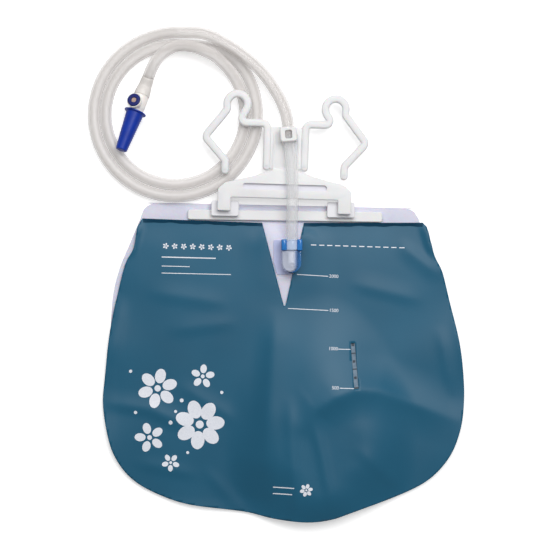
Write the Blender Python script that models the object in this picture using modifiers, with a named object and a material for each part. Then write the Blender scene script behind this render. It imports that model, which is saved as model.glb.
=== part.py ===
"""Urine drainage bag of 2000 ml, lying on its back.

Metres. +Y runs from the bag's foot to the hanger's hooks, +X is the right side seen from the
front, and +Z points up, out of the front. The origin lies on the surface, under the bag.
"""

import math

import bmesh
import bpy
from mathutils import Matrix, Vector
from mathutils.geometry import interpolate_bezier

# Clearances
SEAT_GAP = 0.0003
FILM_GAP = 0.0008
WELD_DISTANCE = 0.00001

# Reservoir bag: two films welded at the rim
BAG_WIDTH = 0.296
BAG_LENGTH = 0.259
BAG_TOP_Y = 0.087
RIM_THICKNESS = 0.0016
RIM_BAND = 0.008
RIM_BAND_TOP = 0.019
BAG_CROWN = 0.0036
CROWN_POWER = 2.5
BAG_OUTLINE_STEP = 0.014
FILM_GRID = 0.0135
PAD_MARGIN = 0.0018
PAD_FADE = 0.011

# Half of the bag's outline from the middle of its foot, as shares of width and length
BAG_SIDE_LEFT = (
    (-0.101, 0.0), (-0.270, 0.023), (-0.382, 0.070), (-0.446, 0.131), (-0.483, 0.212),
    (-0.500, 0.344), (-0.498, 0.510), (-0.490, 0.683), (-0.471, 0.780), (-0.446, 0.851),
    (-0.411, 0.946), (-0.400, 0.979), (-0.375, 0.997), (-0.330, 0.999),
)
BAG_SIDE_RIGHT = (
    (0.310, 0.983), (0.350, 0.981), (0.375, 0.970), (0.388, 0.946), (0.409, 0.851), (0.432, 0.780),
    (0.470, 0.645), (0.497, 0.510), (0.500, 0.344), (0.478, 0.212), (0.436, 0.131),
    (0.372, 0.070), (0.270, 0.023), (0.101, 0.0),
)

# Privacy flap: one vinyl sheet over the front
FLAP_OVERHANG = 0.005
FLAP_FOOT_DROP = 0.0113
FLAP_TOP_DROP = 0.0135
FLAP_THICKNESS = 0.0008
FLAP_SLACK = 0.005
DOME_REACH = 0.050
DOME_BLEND = 0.008
FLAP_OUTLINE_STEP = 0.012
HEM_HEIGHT = 0.0035
HEM_THICKNESS = 0.0026
HEM_DROP = 0.6

# The flap's free edge, as shares of its width and length, from its top left corner
FLAP_EDGE = (
    (-0.391, 1.000), (-0.405, 0.971), (-0.415, 0.903), (-0.437, 0.853), (-0.457, 0.764),
    (-0.480, 0.631), (-0.495, 0.479), (-0.500, 0.379), (-0.482, 0.257), (-0.453, 0.184),
    (-0.410, 0.130), (-0.346, 0.088), (-0.261, 0.055), (-0.112, 0.032), (-0.026, 0.010),
    (0.065, 0.000), (0.131, 0.009), (0.189, 0.032), (0.303, 0.079), (0.377, 0.118),
    (0.426, 0.162), (0.466, 0.225), (0.490, 0.303), (0.500, 0.389), (0.499, 0.479),
    (0.487, 0.595), (0.459, 0.734), (0.440, 0.823), (0.418, 0.879), (0.397, 0.971),
    (0.386, 0.986),
)
# The V notch in the top edge: where its corners and its tip lie
NOTCH_LEFT_X = -0.0180
NOTCH_RIGHT_X = 0.0174
NOTCH_TOP_SAG = 0.0038
NOTCH_TIP_X = 0.0008
NOTCH_DEPTH = 0.0747
NOTCH_TIP_RADIUS = 0.003
# The slit window through which the level is read
SLIT_LENGTH = 0.038
SLIT_WIDTH = 0.0038
SLIT_X = 0.0598
SLIT_BELOW_TOP = 0.1247
SLIT_TURN = math.radians(4.1)

# Waves of the flap's free edge and its soft folds
EDGE_WAVE = 0.0035
EDGE_WAVES = 11
EDGE_WAVE_POWER = 7
# Each fold runs from one share of the flap to another, with a height and a width
FOLDS = (
    ((-0.399, 0.983), (-0.418, 0.893), 0.0030, 0.008),
    ((0.379, 0.967), (0.405, 0.881), 0.0026, 0.008),
    ((0.075, 0.410), (0.065, 0.091), 0.0020, 0.009),
    ((0.163, 0.387), (0.203, 0.099), 0.0022, 0.010),
    ((0.199, 0.426), (0.458, 0.328), 0.0028, 0.012),
    ((0.003, 0.651), (-0.013, 0.433), 0.0016, 0.009),
    ((-0.359, 0.694), (-0.196, 0.246), 0.0018, 0.020),
    ((0.386, 0.753), (0.301, 0.480), 0.0016, 0.016),
)

# Drip chamber in the notch
CHAMBER_AXIS_X = 0.007
COLLAR_BELOW_TOP = 0.0408
FLANGE_SEAT_Z = 0.0049
# From the collar's foot: x from the tube's axis, and y
FLANGE_OUTLINE = (
    (-0.0124, -0.0200), (-0.0008, -0.0200), (0.0054, 0.0088), (-0.0152, 0.0088), (-0.0152, -0.0097),
)
COLLAR_WIDTH = 0.0178
COLLAR_LENGTH = 0.0093
COLLAR_WALL = 0.0015
COLLAR_CORNER = 0.003
COLLAR_EDGE = 0.0006
CUP_WIDTH = 0.0139
CUP_OFF_AXIS = -0.0016
CUP_LENGTH = 0.0182
CUP_HEIGHT = 0.0114
CUP_WALL = 0.0012
CUP_EDGE = 0.0009
NOZZLE_RADIUS = 0.0032
NOZZLE_BORE = 0.0022
NOZZLE_REACH = 0.0132
NOZZLE_CUT = math.radians(60)
SOCKET_DEPTH = 0.0065

# Drainage tube
TUBE_DIAMETER = 0.010
TUBE_POINT_STEP = 0.009
COIL_CENTRE = (-0.0915, 0.1613)
COIL_OUTER_RADIUS = 0.0743
COIL_TURNS = 2
# From the collar up over the hanger and down on to the coil
RUN_ROUTE = (
    (0.0070, 0.0490, 0.0136), (0.0070, 0.0600, 0.0140), (0.0072, 0.0720, 0.0170),
    (0.0074, 0.0840, 0.0208), (0.0075, 0.0950, 0.0221), (0.0072, 0.1080, 0.0221),
    (0.0062, 0.1220, 0.0214), (0.0049, 0.1336, 0.0203), (0.0042, 0.1436, 0.0202),
    (0.0035, 0.1536, 0.0202), (0.0004, 0.1660, 0.0188), (-0.0065, 0.1800, 0.0168),
    (-0.0175, 0.1955, 0.0157), (-0.0325, 0.2095, 0.0154), (-0.0495, 0.2208, 0.0154),
    (-0.0660, 0.2285, 0.0154),
)
# From the top of the coil inwards to the connector
TAIL_ROUTE = (
    (-0.0740, 0.2196, 0.0154), (-0.0870, 0.2190, 0.0154), (-0.0982, 0.2150, 0.0154),
    (-0.1060, 0.2082, 0.0150), (-0.1109, 0.2006, 0.0120), (-0.1145, 0.1929, 0.0074),
    (-0.1171, 0.1861, 0.0053), (-0.1197, 0.1790, 0.00665),
)

# The rail and its sockets share one frame, and the hanger has another, each turned a little clockwise
RAIL_X = 0.00125
RAIL_BELOW_TOP = 0.0113
RAIL_TURN = math.radians(-0.83)
TOP_FRAME_X = 0.0010
TOP_FRAME_ABOVE_BAG = 0.0107
TOP_FRAME_TURN = math.radians(-1.8)
RAIL_LENGTH = 0.165
RAIL_WIDTH = 0.0085
RAIL_THICKNESS = 0.003
RAIL_CORNER = 0.002
RAIL_EDGE = 0.0006
SOCKET_WIDTH = 0.0232
SOCKET_LENGTH = 0.013
SOCKET_ABOVE_RAIL = 0.0055
SOCKET_CORNER = 0.0015
SOCKET_EDGE = 0.0004
SOCKET_SHIFTS = {"left": 0.0, "right": -0.0036}
STUD_RADIUS = 0.0024
STUD_LENGTH = 0.007
STUD_Y = -0.015

# Hanger, in the frame above
BAR_WIDTH = 0.0064
BAR_THICKNESS = 0.006
BAR_EDGE = 0.001
BAR_END_INSET = 0.0002
YOKE_THICKNESS = 0.0056
YOKE_EDGE = 0.0006
YOKE_FOOT_Y = -0.0079
LEG_MIDDLE = 0.0508
LEG_WIDTH = 0.0112
LEG_FOOT_Y = -0.0195
LEG_CORNER = 0.0015
NECK_HALF_WIDTH = 0.0108
NECK_TOP_Y = 0.0175
NECK_FOOT_Y = 0.0160
WEB_THICKNESS = 0.0025
WEB_OVERLAP = 0.0017
WEB_FOOT_Y = 0.0172
WEB_TOP_Y = 0.0524
WEB_CORNER = 0.002
COLUMN_MIDDLE = 0.0160
COLUMN_FOOT_Y = 0.0187
RIB_OFFSET = 0.0102
RIB_WIDTH = 0.0014
RIB_HEIGHT = 0.0008
RIB_LENGTH = 0.030
RIB_MIDDLE_Y = 0.032
RECESS_LENGTH = 0.071
RECESS_WIDTH = 0.005
RECESS_DEPTH = 0.0026
RECESS_Y = 0.0018
# The yoke's sloping shoulder, from the neck to the leg: x, y, corner radius
YOKE_SHOULDER = ((0.0240, 0.0113, 0.010), (0.0500, 0.0046, 0.004))
SHOULDER_FOOT = (-0.0008, 0.004)
# Each hook's free end, its knee and the foot of its crown: x, y, corner radius
HOOK_FREE_END = ((0.0508, 0.0140, 0.0), (0.0508, 0.0225, 0.0045), (0.0688, 0.0423, 0.0045), (0.0504, 0.0658, 0.004))
CROWN_MIDDLE = (0.0421, 0.0705)
CROWN_RADIUS = 0.00875
CROWN_SWEEP = math.radians(211)
CROWN_STEPS = 7
# How far each hook's free part has sprung from its nominal place
HOOK_SPRING = {"left": (0.0, 0.0004), "right": (-0.0012, -0.0016)}
ARM_Y = 0.0554
ARM_NECK = (0.0403, 0.0036)
COLUMN_CORNER = 0.005

# Clip that saddles the tube on the hanger's web, in the same frame
CLIP_AT = (0.00176, 0.0459)
CLIP_TURN = math.radians(5.8)
CLIP_TUBE_GAP = 0.00065
CLIP_WIDTH = 0.0143
CLIP_LENGTH = 0.0125
CLIP_ROOF = 0.0018
CLIP_CORNER = 0.0025
CLIP_EDGE = 0.0008
CLIP_WINDOW = (0.006, 0.0073)
CLIP_WINDOW_CORNER = 0.0015
CLIP_LEG_LENGTH = 0.008
CLIP_BARB = 0.0009

# Connector, side port and cap, along one axis that leaves the tube's end
CONNECTOR_AT = TAIL_ROUTE[-1]
CONNECTOR_HEADING = math.radians(250.5)
CONNECTOR_RISE = math.radians(11.5)
CONNECTOR_BORE = 0.002
HUB_RADIUS = 0.0066
HUB_START = 0.0030
HUB_END = 0.0130
HUB_TAPER = 0.002
NECK_RADIUS = 0.0058
TIP_RADII = (0.005, 0.0043, 0.0036)
TIP_STEPS = (0.019, 0.028, 0.036)
TIP_END = 0.043
TIP_EDGE = 0.0008
PORT_FROM_END = 0.0106
PORT_LEAN = math.radians(17)
PORT_STEM_RADIUS = 0.0049
PORT_RADIUS = 0.0063
PORT_HEIGHT = 0.0126
PORT_LIP = 0.0024
PORT_WALL = 0.0006
PORT_RECESS = 0.0015
PORT_RING_HEIGHT = 0.0022
PORT_RING_EDGE = 0.0008
SEPTUM_RADIUS = 0.002
SEPTUM_DROP = 0.0009
CAP_FROM_HUB = 0.0018
CAP_FLANGE_OVERHANG = 0.0019
CAP_FLANGE_THICKNESS = 0.0015
CAP_FIT = 0.00055
CAP_TIP_RADIUS = 0.0049
CAP_LENGTH = 0.0355
CAP_WALL = 0.0012
CAP_EDGE = 0.001

# Outlet under the flap, along an axis that runs to the bag's foot
OUTLET_X = 0.033
OUTLET_ABOVE_FOOT = 0.088
OUTLET_SEAT_Z = 0.0048
OUTLET_FLANGE_RADIUS = 0.014
OUTLET_FLANGE_THICKNESS = 0.0012
OUTLET_HUB_RADIUS = 0.0054
OUTLET_HUB_LENGTH = 0.016
OUTLET_HUB_NOSE = 0.7
OUTLET_TUBE_RADIUS = 0.0045
OUTLET_TUBE_BORE = 0.0033
OUTLET_TUBE_LENGTH = 0.0224
OUTLET_SPIGOT = 0.0065
TAP_BARREL_RADIUS = 0.0062
TAP_BARREL_LENGTH = 0.026
TAP_BARREL_BORE = 0.0047
TAP_NECK_RADIUS = 0.0048
TAP_NECK_LENGTH = 0.003
TAP_NOZZLE_LENGTH = 0.020
TAP_NOZZLE_END_RADIUS = 0.0036
TAP_FLOW_BORE = 0.0022
TAP_TRAVEL = 0.007
TAP_PAD_THICKNESS = 0.003
TAP_PAD_WIDTH = 0.013
TAP_PAD_CORNER = 0.003
TAP_PAD_EDGE = 0.0006
SEAL_RADIUS = 0.0007
SEAL_STEPS = 6
SEAL_OFFSETS = {"left": -0.0044, "middle": 0.0035, "right": 0.0106}

# Fineness of round pieces
ROUND_STEPS = 24
SMALL_STEPS = 16
COIL_STEPS = 40
ARC_STEP = math.radians(30)
# A round end's radius as a share of its width, and how far a cutter reaches past what it cuts
ROUND_END = 0.49
CUT_REACH = 0.02

# Worked out from the sizes above
TUBE_RADIUS = TUBE_DIAMETER / 2
BAG_FOOT_Y = BAG_TOP_Y - BAG_LENGTH
FLAP_WIDTH = BAG_WIDTH + 2 * FLAP_OVERHANG
FLAP_TOP_Y = BAG_TOP_Y - FLAP_TOP_DROP
FLAP_FOOT_Y = BAG_FOOT_Y - FLAP_FOOT_DROP
FLAP_LENGTH = FLAP_TOP_Y - FLAP_FOOT_Y
TOP_FRAME_AT = (TOP_FRAME_X, BAG_TOP_Y + TOP_FRAME_ABOVE_BAG)
RAIL_BACK_Z = RIM_THICKNESS + SEAT_GAP
SOCKET_BACK_Z = RAIL_BACK_Z + RAIL_THICKNESS + SEAT_GAP
HANGER_BACK_Z = TUBE_DIAMETER + SEAT_GAP
HANGER_MIDDLE_Z = HANGER_BACK_Z + BAR_THICKNESS / 2
YOKE_BACK_Z = HANGER_MIDDLE_Z - YOKE_THICKNESS / 2
YOKE_FRONT_Z = HANGER_MIDDLE_Z + YOKE_THICKNESS / 2
WEB_BACK_Z = HANGER_MIDDLE_Z - WEB_THICKNESS / 2
WEB_FRONT_Z = HANGER_MIDDLE_Z + WEB_THICKNESS / 2
WEB_HALF_WIDTH = COLUMN_MIDDLE - BAR_WIDTH / 2 + WEB_OVERLAP
CAP_FROM_END = HUB_END + HUB_TAPER + CAP_FROM_HUB
CAP_MOUTH_RADIUS = NECK_RADIUS + CAP_FIT + CAP_WALL
CLIP_TUBE_Z = WEB_FRONT_Z + CLIP_TUBE_GAP + TUBE_RADIUS
CLIP_FRONT_Z = CLIP_TUBE_Z + TUBE_RADIUS + CLIP_ROOF
CHANNEL_RADIUS = TUBE_RADIUS + SEAT_GAP
FLANGE_BACK_Z = FLANGE_SEAT_Z + SEAT_GAP
FLANGE_THICKNESS = FILM_GAP + FLAP_THICKNESS - SEAT_GAP
CHAMBER_BACK_Z = FLANGE_BACK_Z + FLANGE_THICKNESS + SEAT_GAP
COLLAR_HEIGHT = 2 * (CHANNEL_RADIUS + COLLAR_WALL)
CHAMBER_AXIS_Z = CHAMBER_BACK_Z + COLLAR_HEIGHT / 2
COLLAR_FOOT_Y = BAG_TOP_Y - COLLAR_BELOW_TOP
OUTLET_AT = (OUTLET_X, BAG_FOOT_Y + OUTLET_ABOVE_FOOT)
OUTLET_AXIS_Z = OUTLET_SEAT_Z + OUTLET_FLANGE_THICKNESS + OUTLET_TUBE_RADIUS + 2 * SEAT_GAP
TAP_FROM_FLANGE = OUTLET_HUB_LENGTH / 2 + OUTLET_TUBE_LENGTH + TAP_NECK_LENGTH + TAP_BARREL_RADIUS + 2 * SEAT_GAP
TAP_Y = OUTLET_AT[1] - TAP_FROM_FLANGE
SLIDE_ROD_LENGTH = TAP_BARREL_LENGTH + TAP_TRAVEL + 2 * SEAT_GAP
SLIDE_ROD_RADIUS = TAP_BARREL_BORE - SEAT_GAP
SLIDE_REACH = TAP_BARREL_LENGTH / 2 + TAP_PAD_THICKNESS + TAP_TRAVEL + 4 * SEAT_GAP

# Where the film is held flat under a flange: left, right, foot, top, height
FILM_PADS = (
    (
        CHAMBER_AXIS_X + min(x for x, y in FLANGE_OUTLINE) - PAD_MARGIN,
        CHAMBER_AXIS_X + COLLAR_WIDTH / 2 + PAD_MARGIN,
        COLLAR_FOOT_Y + min(y for x, y in FLANGE_OUTLINE) - PAD_MARGIN,
        COLLAR_FOOT_Y + COLLAR_LENGTH + PAD_MARGIN,
        FLANGE_SEAT_Z,
    ),
    (
        OUTLET_AT[0] - OUTLET_FLANGE_RADIUS - PAD_MARGIN,
        OUTLET_AT[0] + OUTLET_FLANGE_RADIUS + PAD_MARGIN,
        OUTLET_AT[1] - OUTLET_FLANGE_RADIUS - PAD_MARGIN,
        OUTLET_AT[1] + OUTLET_FLANGE_RADIUS + PAD_MARGIN,
        OUTLET_SEAT_Z,
    ),
)

# What holds the flap up from inside: two ends, radius, height of its axis
FLAP_SUPPORTS = (
    (OUTLET_AT, (OUTLET_AT[0], TAP_Y), OUTLET_HUB_RADIUS),
    ((OUTLET_AT[0] - SLIDE_REACH, TAP_Y), (OUTLET_AT[0] + SLIDE_REACH, TAP_Y), TAP_BARREL_RADIUS),
    ((OUTLET_AT[0], TAP_Y), (OUTLET_AT[0], TAP_Y - TAP_BARREL_RADIUS - TAP_NOZZLE_LENGTH), TAP_NECK_RADIUS),
)


def linear_colour(code):
    """An sRGB colour code such as 3d6b86 as linear values."""
    channels = [int(code[start:start + 2], 16) / 255 for start in (0, 2, 4)]
    return [c / 12.92 if c <= 0.04045 else ((c + 0.055) / 1.055) ** 2.4 for c in channels]


def make_material(name, code, roughness, transmission=0.0):
    material = bpy.data.materials.new(name)
    material.use_nodes = True
    shader = material.node_tree.nodes["Principled BSDF"]
    shader.inputs["Base Color"].default_value = (*linear_colour(code), 1.0)
    shader.inputs["Roughness"].default_value = roughness
    shader.inputs["Metallic"].default_value = 0.0
    shader.inputs["Transmission Weight"].default_value = transmission
    return material


def start_scene():
    for obj in list(bpy.data.objects):
        bpy.data.objects.remove(obj, do_unlink=True)
    parts = bpy.data.collections.new("urine_drainage_bag")
    cutters = bpy.data.collections.new("cutters")
    for collection in (parts, cutters):
        bpy.context.scene.collection.children.link(collection)
    return parts, cutters


PARTS, CUTTERS = start_scene()


def add_object(name, data):
    obj = bpy.data.objects.new(name, data)
    PARTS.objects.link(obj)
    return obj


def finish_mesh(name, bm, smooth_angle=35):
    mesh = bpy.data.meshes.new(name)
    bm.to_mesh(mesh)
    bm.free()
    mesh.shade_smooth()
    mesh.set_sharp_from_angle(angle=math.radians(smooth_angle))
    return add_object(name, mesh)


def frame(name, location, rotation=(0.0, 0.0, 0.0), parent=None):
    """An empty that pieces hang from, each at its own place in it."""
    empty = add_object(name, None)
    empty.location = location
    empty.rotation_euler = rotation
    empty.parent = parent
    return empty


def combine(target, other, operation):
    """Joins another solid to the target, or cuts it from the target, and keeps it as a hidden helper."""
    modifier = target.modifiers.new(operation.lower(), "BOOLEAN")
    modifier.operation = operation
    modifier.solver = "EXACT"
    modifier.object = other
    other.hide_render = True
    other.display_type = "WIRE"
    PARTS.objects.unlink(other)
    CUTTERS.objects.link(other)


def join(target, *others):
    for other in others:
        combine(target, other, "UNION")


def cut(target, *others):
    for other in others:
        combine(target, other, "DIFFERENCE")


def hang(parent, *objects):
    for obj in objects:
        obj.parent = parent


def mesh_from_curve(curve_object):
    """The curve's solid as a mesh, its loose caps welded on."""
    graph = bpy.context.evaluated_depsgraph_get()
    mesh = bpy.data.meshes.new_from_object(curve_object.evaluated_get(graph))
    bm = bmesh.new()
    bm.from_mesh(mesh)
    bmesh.ops.remove_doubles(bm, verts=bm.verts, dist=WELD_DISTANCE)
    bmesh.ops.recalc_face_normals(bm, faces=bm.faces)
    name, place = curve_object.name, curve_object.matrix_world.copy()
    bpy.data.objects.remove(curve_object)
    solid = finish_mesh(name, bm)
    solid.matrix_world = place
    return solid


def add_spline(curve, points, closed):
    spline = curve.splines.new("POLY")
    spline.points.add(len(points) - 1)
    for target, point in zip(spline.points, points):
        target.co = (*Vector(point).to_3d(), 1.0)
    spline.use_cyclic_u = closed


def prism(name, outline, back, front, edge=0.0):
    """A flat outline as a plate between two heights, with its edges broken."""
    curve = bpy.data.curves.new(name, "CURVE")
    curve.dimensions = "2D"
    curve.fill_mode = "BOTH"
    curve.extrude = (front - back) / 2 - edge
    curve.bevel_depth = edge
    curve.bevel_resolution = 0
    curve.offset = -edge
    add_spline(curve, outline, True)
    obj = add_object(name, curve)
    obj.location.z = (back + front) / 2
    bpy.context.view_layer.update()
    return mesh_from_curve(obj)


def rounded(corners, closed=False, arc_step=ARC_STEP):
    """A path through corners, each x, y and radius, with an arc at every corner that has a radius."""
    count = len(corners)
    path = []
    for index, (x, y, radius) in enumerate(corners):
        here = Vector((x, y))
        if radius == 0.0 or not closed and index in (0, count - 1):
            path.append(here)
            continue
        back = (Vector(corners[index - 1][:2]) - here).normalized()
        onward = (Vector(corners[(index + 1) % count][:2]) - here).normalized()
        half = back.angle(onward) / 2
        centre = here + (back + onward).normalized() * radius / math.sin(half)
        spoke = here + back * radius / math.tan(half) - centre
        sweep = math.pi - 2 * half
        turn = math.copysign(sweep, -back.cross(onward))
        steps = max(1, round(sweep / arc_step))
        path += [centre + Matrix.Rotation(turn * i / steps, 2) @ spoke for i in range(steps + 1)]
    return path


def box_outline(width, length, radius=0.0, middle=(0.0, 0.0), arc_step=ARC_STEP):
    x, y = middle
    corners = [
        (x + across * width / 2, y + along * length / 2, radius)
        for across, along in ((-1, -1), (1, -1), (1, 1), (-1, 1))
    ]
    return rounded(corners, closed=True, arc_step=arc_step)


def smooth_through(points, spacing):
    """Points about this far apart on a smooth curve through the given ones."""
    points = [Vector(point) for point in points]
    reach = [2 * points[0] - points[1], *points, 2 * points[-1] - points[-2]]
    smooth = []
    for before, start, end, after in zip(reach, reach[1:], reach[2:], reach[3:]):
        count = max(1, round((end - start).length / spacing)) + 1
        leave = start + (end - before) / 6
        arrive = end - (after - start) / 6
        smooth += interpolate_bezier(start, leave, arrive, end, count)[:-1]
    return [*smooth, points[-1]]


def turned(name, profile, closed=False, steps=ROUND_STEPS):
    """A profile of radius and height, from top to bottom down its outer side, turned round Z."""
    bm = bmesh.new()
    verts = [bm.verts.new((radius, 0.0, height)) for radius, height in profile]
    for start, end in zip(verts, verts[1:] + verts[:1] if closed else verts[1:]):
        bm.edges.new((start, end))
    obj = finish_mesh(name, bm)
    screw = obj.modifiers.new("turn", "SCREW")
    screw.axis = "Z"
    screw.angle = 2 * math.pi
    screw.steps = steps
    screw.render_steps = steps
    screw.use_merge_vertices = True
    screw.merge_threshold = WELD_DISTANCE
    screw.use_smooth_shade = True
    return obj


def rod(name, radius, bottom, top, steps=ROUND_STEPS):
    """A cylinder along Z."""
    return turned(name, ((0.0, top), (radius, top), (radius, bottom), (0.0, bottom)), steps=steps)


def pipe(name, outer, inner, bottom, top, steps=ROUND_STEPS):
    """A cylinder along Z with a bore."""
    profile = ((inner, top), (outer, top), (outer, bottom), (inner, bottom))
    return turned(name, profile, closed=True, steps=steps)


# Film shapes that the bag and its flap share


def fade(distance, reach):
    """1 at no distance, falling smoothly to 0."""
    share = min(1.0, distance / reach)
    return 1 - share * share * (3 - 2 * share)


def segment_distance(point, start, end):
    start, end = Vector(start), Vector(end)
    along = (end - start).dot(point - start) / (end - start).length_squared
    return (point - start - (end - start) * min(1.0, max(0.0, along))).length


def bag_height(x, y):
    """Height of the bag's front film: flat at the rim, soft in the middle, flat under a flange."""
    foot = BAG_FOOT_Y + RIM_BAND
    top = BAG_FOOT_Y + BAG_LENGTH - RIM_BAND_TOP
    across = min(1.0, abs(x) / (BAG_WIDTH / 2 - RIM_BAND))
    along = min(1.0, abs(y - (foot + top) / 2) / ((top - foot) / 2))
    height = RIM_THICKNESS + BAG_CROWN * (1 - across**CROWN_POWER) * (1 - along**CROWN_POWER)
    for left, right, lower, upper, level in FILM_PADS:
        outside = Vector((max(left - x, 0.0, x - right), max(lower - y, 0.0, y - upper))).length
        height += (level - height) * fade(outside, PAD_FADE)
    return height


def flap_place(share):
    """A share of the flap's width and length as a place on it."""
    return Vector((share[0] * FLAP_WIDTH, FLAP_FOOT_Y + share[1] * FLAP_LENGTH))


def outlet_dome(point):
    """Share of its full lift that the flap has here: 1 over the outlet's pieces, falling smoothly round them."""
    outsides = [max(0.0, segment_distance(point, start, end) - radius - FLAP_SLACK) for start, end, radius in FLAP_SUPPORTS]
    near = sum(math.exp(-outside / DOME_BLEND) for outside in outsides)
    return fade(max(0.0, -DOME_BLEND * math.log(near)), DOME_REACH)


def flap_height(x, y):
    """Height of the flap's back over the bag, the outlet's pieces, the folds and the waved edge."""
    point = Vector((x, y))
    height = bag_height(x, y) + FILM_GAP
    lifted = OUTLET_AXIS_Z + TAP_BARREL_RADIUS + FILM_GAP
    height += (lifted - height) * outlet_dome(point)
    for start, end, rise, width in FOLDS:
        height += rise * fade(segment_distance(point, flap_place(start), flap_place(end)), width)
    middle_y = FLAP_FOOT_Y + FLAP_LENGTH / 2
    across = abs(x) / (FLAP_WIDTH / 2)
    along = max(0.0, middle_y - y) / (FLAP_LENGTH / 2)
    edge = max(across, along) ** EDGE_WAVE_POWER * fade(max(0.0, y), FLAP_LENGTH / 4)
    turn = math.atan2(y - middle_y, x)
    return height + EDGE_WAVE * edge * (1 + math.sin(EDGE_WAVES * turn)) / 2


def cut_into_cells(bm, is_cut):
    """Cuts the chosen faces along a square grid and along the edges of the film's pads."""
    reach = int(BAG_WIDTH / FILM_GRID)
    lines = {axis: [step * FILM_GRID for step in range(-reach, reach + 1)] for axis in (0, 1)}
    for left, right, lower, upper, _ in FILM_PADS:
        lines[0] += [left, right]
        lines[1] += [lower, upper]
    for axis, places in lines.items():
        normal = Vector((1.0, 0.0, 0.0)) if axis == 0 else Vector((0.0, 1.0, 0.0))
        for place in places:
            faces = [face for face in bm.faces if is_cut(face)]
            edges = {edge for face in faces for edge in face.edges}
            verts = {vert for face in faces for vert in face.verts}
            bmesh.ops.bisect_plane(
                bm, geom=[*faces, *edges, *verts], dist=WELD_DISTANCE * 10, plane_co=normal * place, plane_no=normal
            )


def make_reservoir_bag():
    shares = BAG_SIDE_LEFT + BAG_SIDE_RIGHT
    sides = [(x * BAG_WIDTH, BAG_FOOT_Y + y * BAG_LENGTH) for x, y in shares]
    outline = smooth_through(sides, BAG_OUTLINE_STEP)
    bm = bmesh.new()
    base = bm.faces.new([bm.verts.new((*point, 0.0)) for point in reversed(outline)])
    base.normal_update()
    if base.normal.z > 0:
        base.normal_flip()
    raised = bmesh.ops.extrude_face_region(bm, geom=[base], use_keep_orig=True)["geom"]
    for vert in [item for item in raised if isinstance(item, bmesh.types.BMVert)]:
        vert.co.z = RIM_THICKNESS
    bmesh.ops.recalc_face_normals(bm, faces=bm.faces)
    cut_into_cells(bm, lambda face: face.normal.z > 0.5)
    for vert in bm.verts:
        if vert.co.z > RIM_THICKNESS / 2:
            vert.co.z = bag_height(vert.co.x, vert.co.y)
    return finish_mesh("reservoir_bag", bm, 60)


def notch_corners():
    """The V notch's left corner, tip and right corner."""
    corner_y = FLAP_TOP_Y - NOTCH_TOP_SAG
    return Vector((NOTCH_LEFT_X, corner_y)), Vector((NOTCH_TIP_X, FLAP_TOP_Y - NOTCH_DEPTH)), Vector((NOTCH_RIGHT_X, corner_y))


def flap_outline():
    edge = smooth_through([flap_place(share) for share in FLAP_EDGE], FLAP_OUTLINE_STEP)
    left, tip, right = notch_corners()
    return edge + rounded(((*right, 0.0), (*tip, NOTCH_TIP_RADIUS), (*left, 0.0)))


def make_privacy_flap():
    bm = bmesh.new()
    bm.faces.new([bm.verts.new((*point, 0.0)) for point in flap_outline()])
    bmesh.ops.recalc_face_normals(bm, faces=bm.faces)
    for face in bm.faces:
        if face.normal.z < 0:
            face.normal_flip()
    cut_into_cells(bm, lambda face: True)
    for vert in bm.verts:
        vert.co.z = flap_height(vert.co.x, vert.co.y)
    flap = finish_mesh("privacy_flap", bm, 60)
    sheet = flap.modifiers.new("sheet", "SOLIDIFY")
    sheet.thickness = FLAP_THICKNESS
    sheet.offset = 1.0
    slit = prism("slit", box_outline(SLIT_WIDTH, SLIT_LENGTH, SLIT_WIDTH * ROUND_END), -CUT_REACH, 2 * CUT_REACH)
    slit.location = (SLIT_X, FLAP_TOP_Y - SLIT_BELOW_TOP, slit.location.z)
    slit.rotation_euler.z = SLIT_TURN
    cut(flap, slit)
    left, _, right = notch_corners()
    join(flap, make_hem("left", flap_place(FLAP_EDGE[0]), left), make_hem("right", right, flap_place(FLAP_EDGE[-1])))
    return flap


def make_hem(side, start, end):
    """The flap's top edge folded back on itself, as a strip that thickens it."""
    back = RIM_THICKNESS + FILM_GAP + FLAP_THICKNESS / 4
    hem = prism(f"hem_{side}", box_outline((end - start).length - HEM_HEIGHT, HEM_HEIGHT), back, back + HEM_THICKNESS)
    middle = (start + end) / 2
    hem.location.x = middle.x
    hem.location.y = middle.y - HEM_HEIGHT * HEM_DROP
    hem.rotation_euler.z = math.atan2(end.y - start.y, end.x - start.x)
    return hem


# Drip chamber


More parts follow.
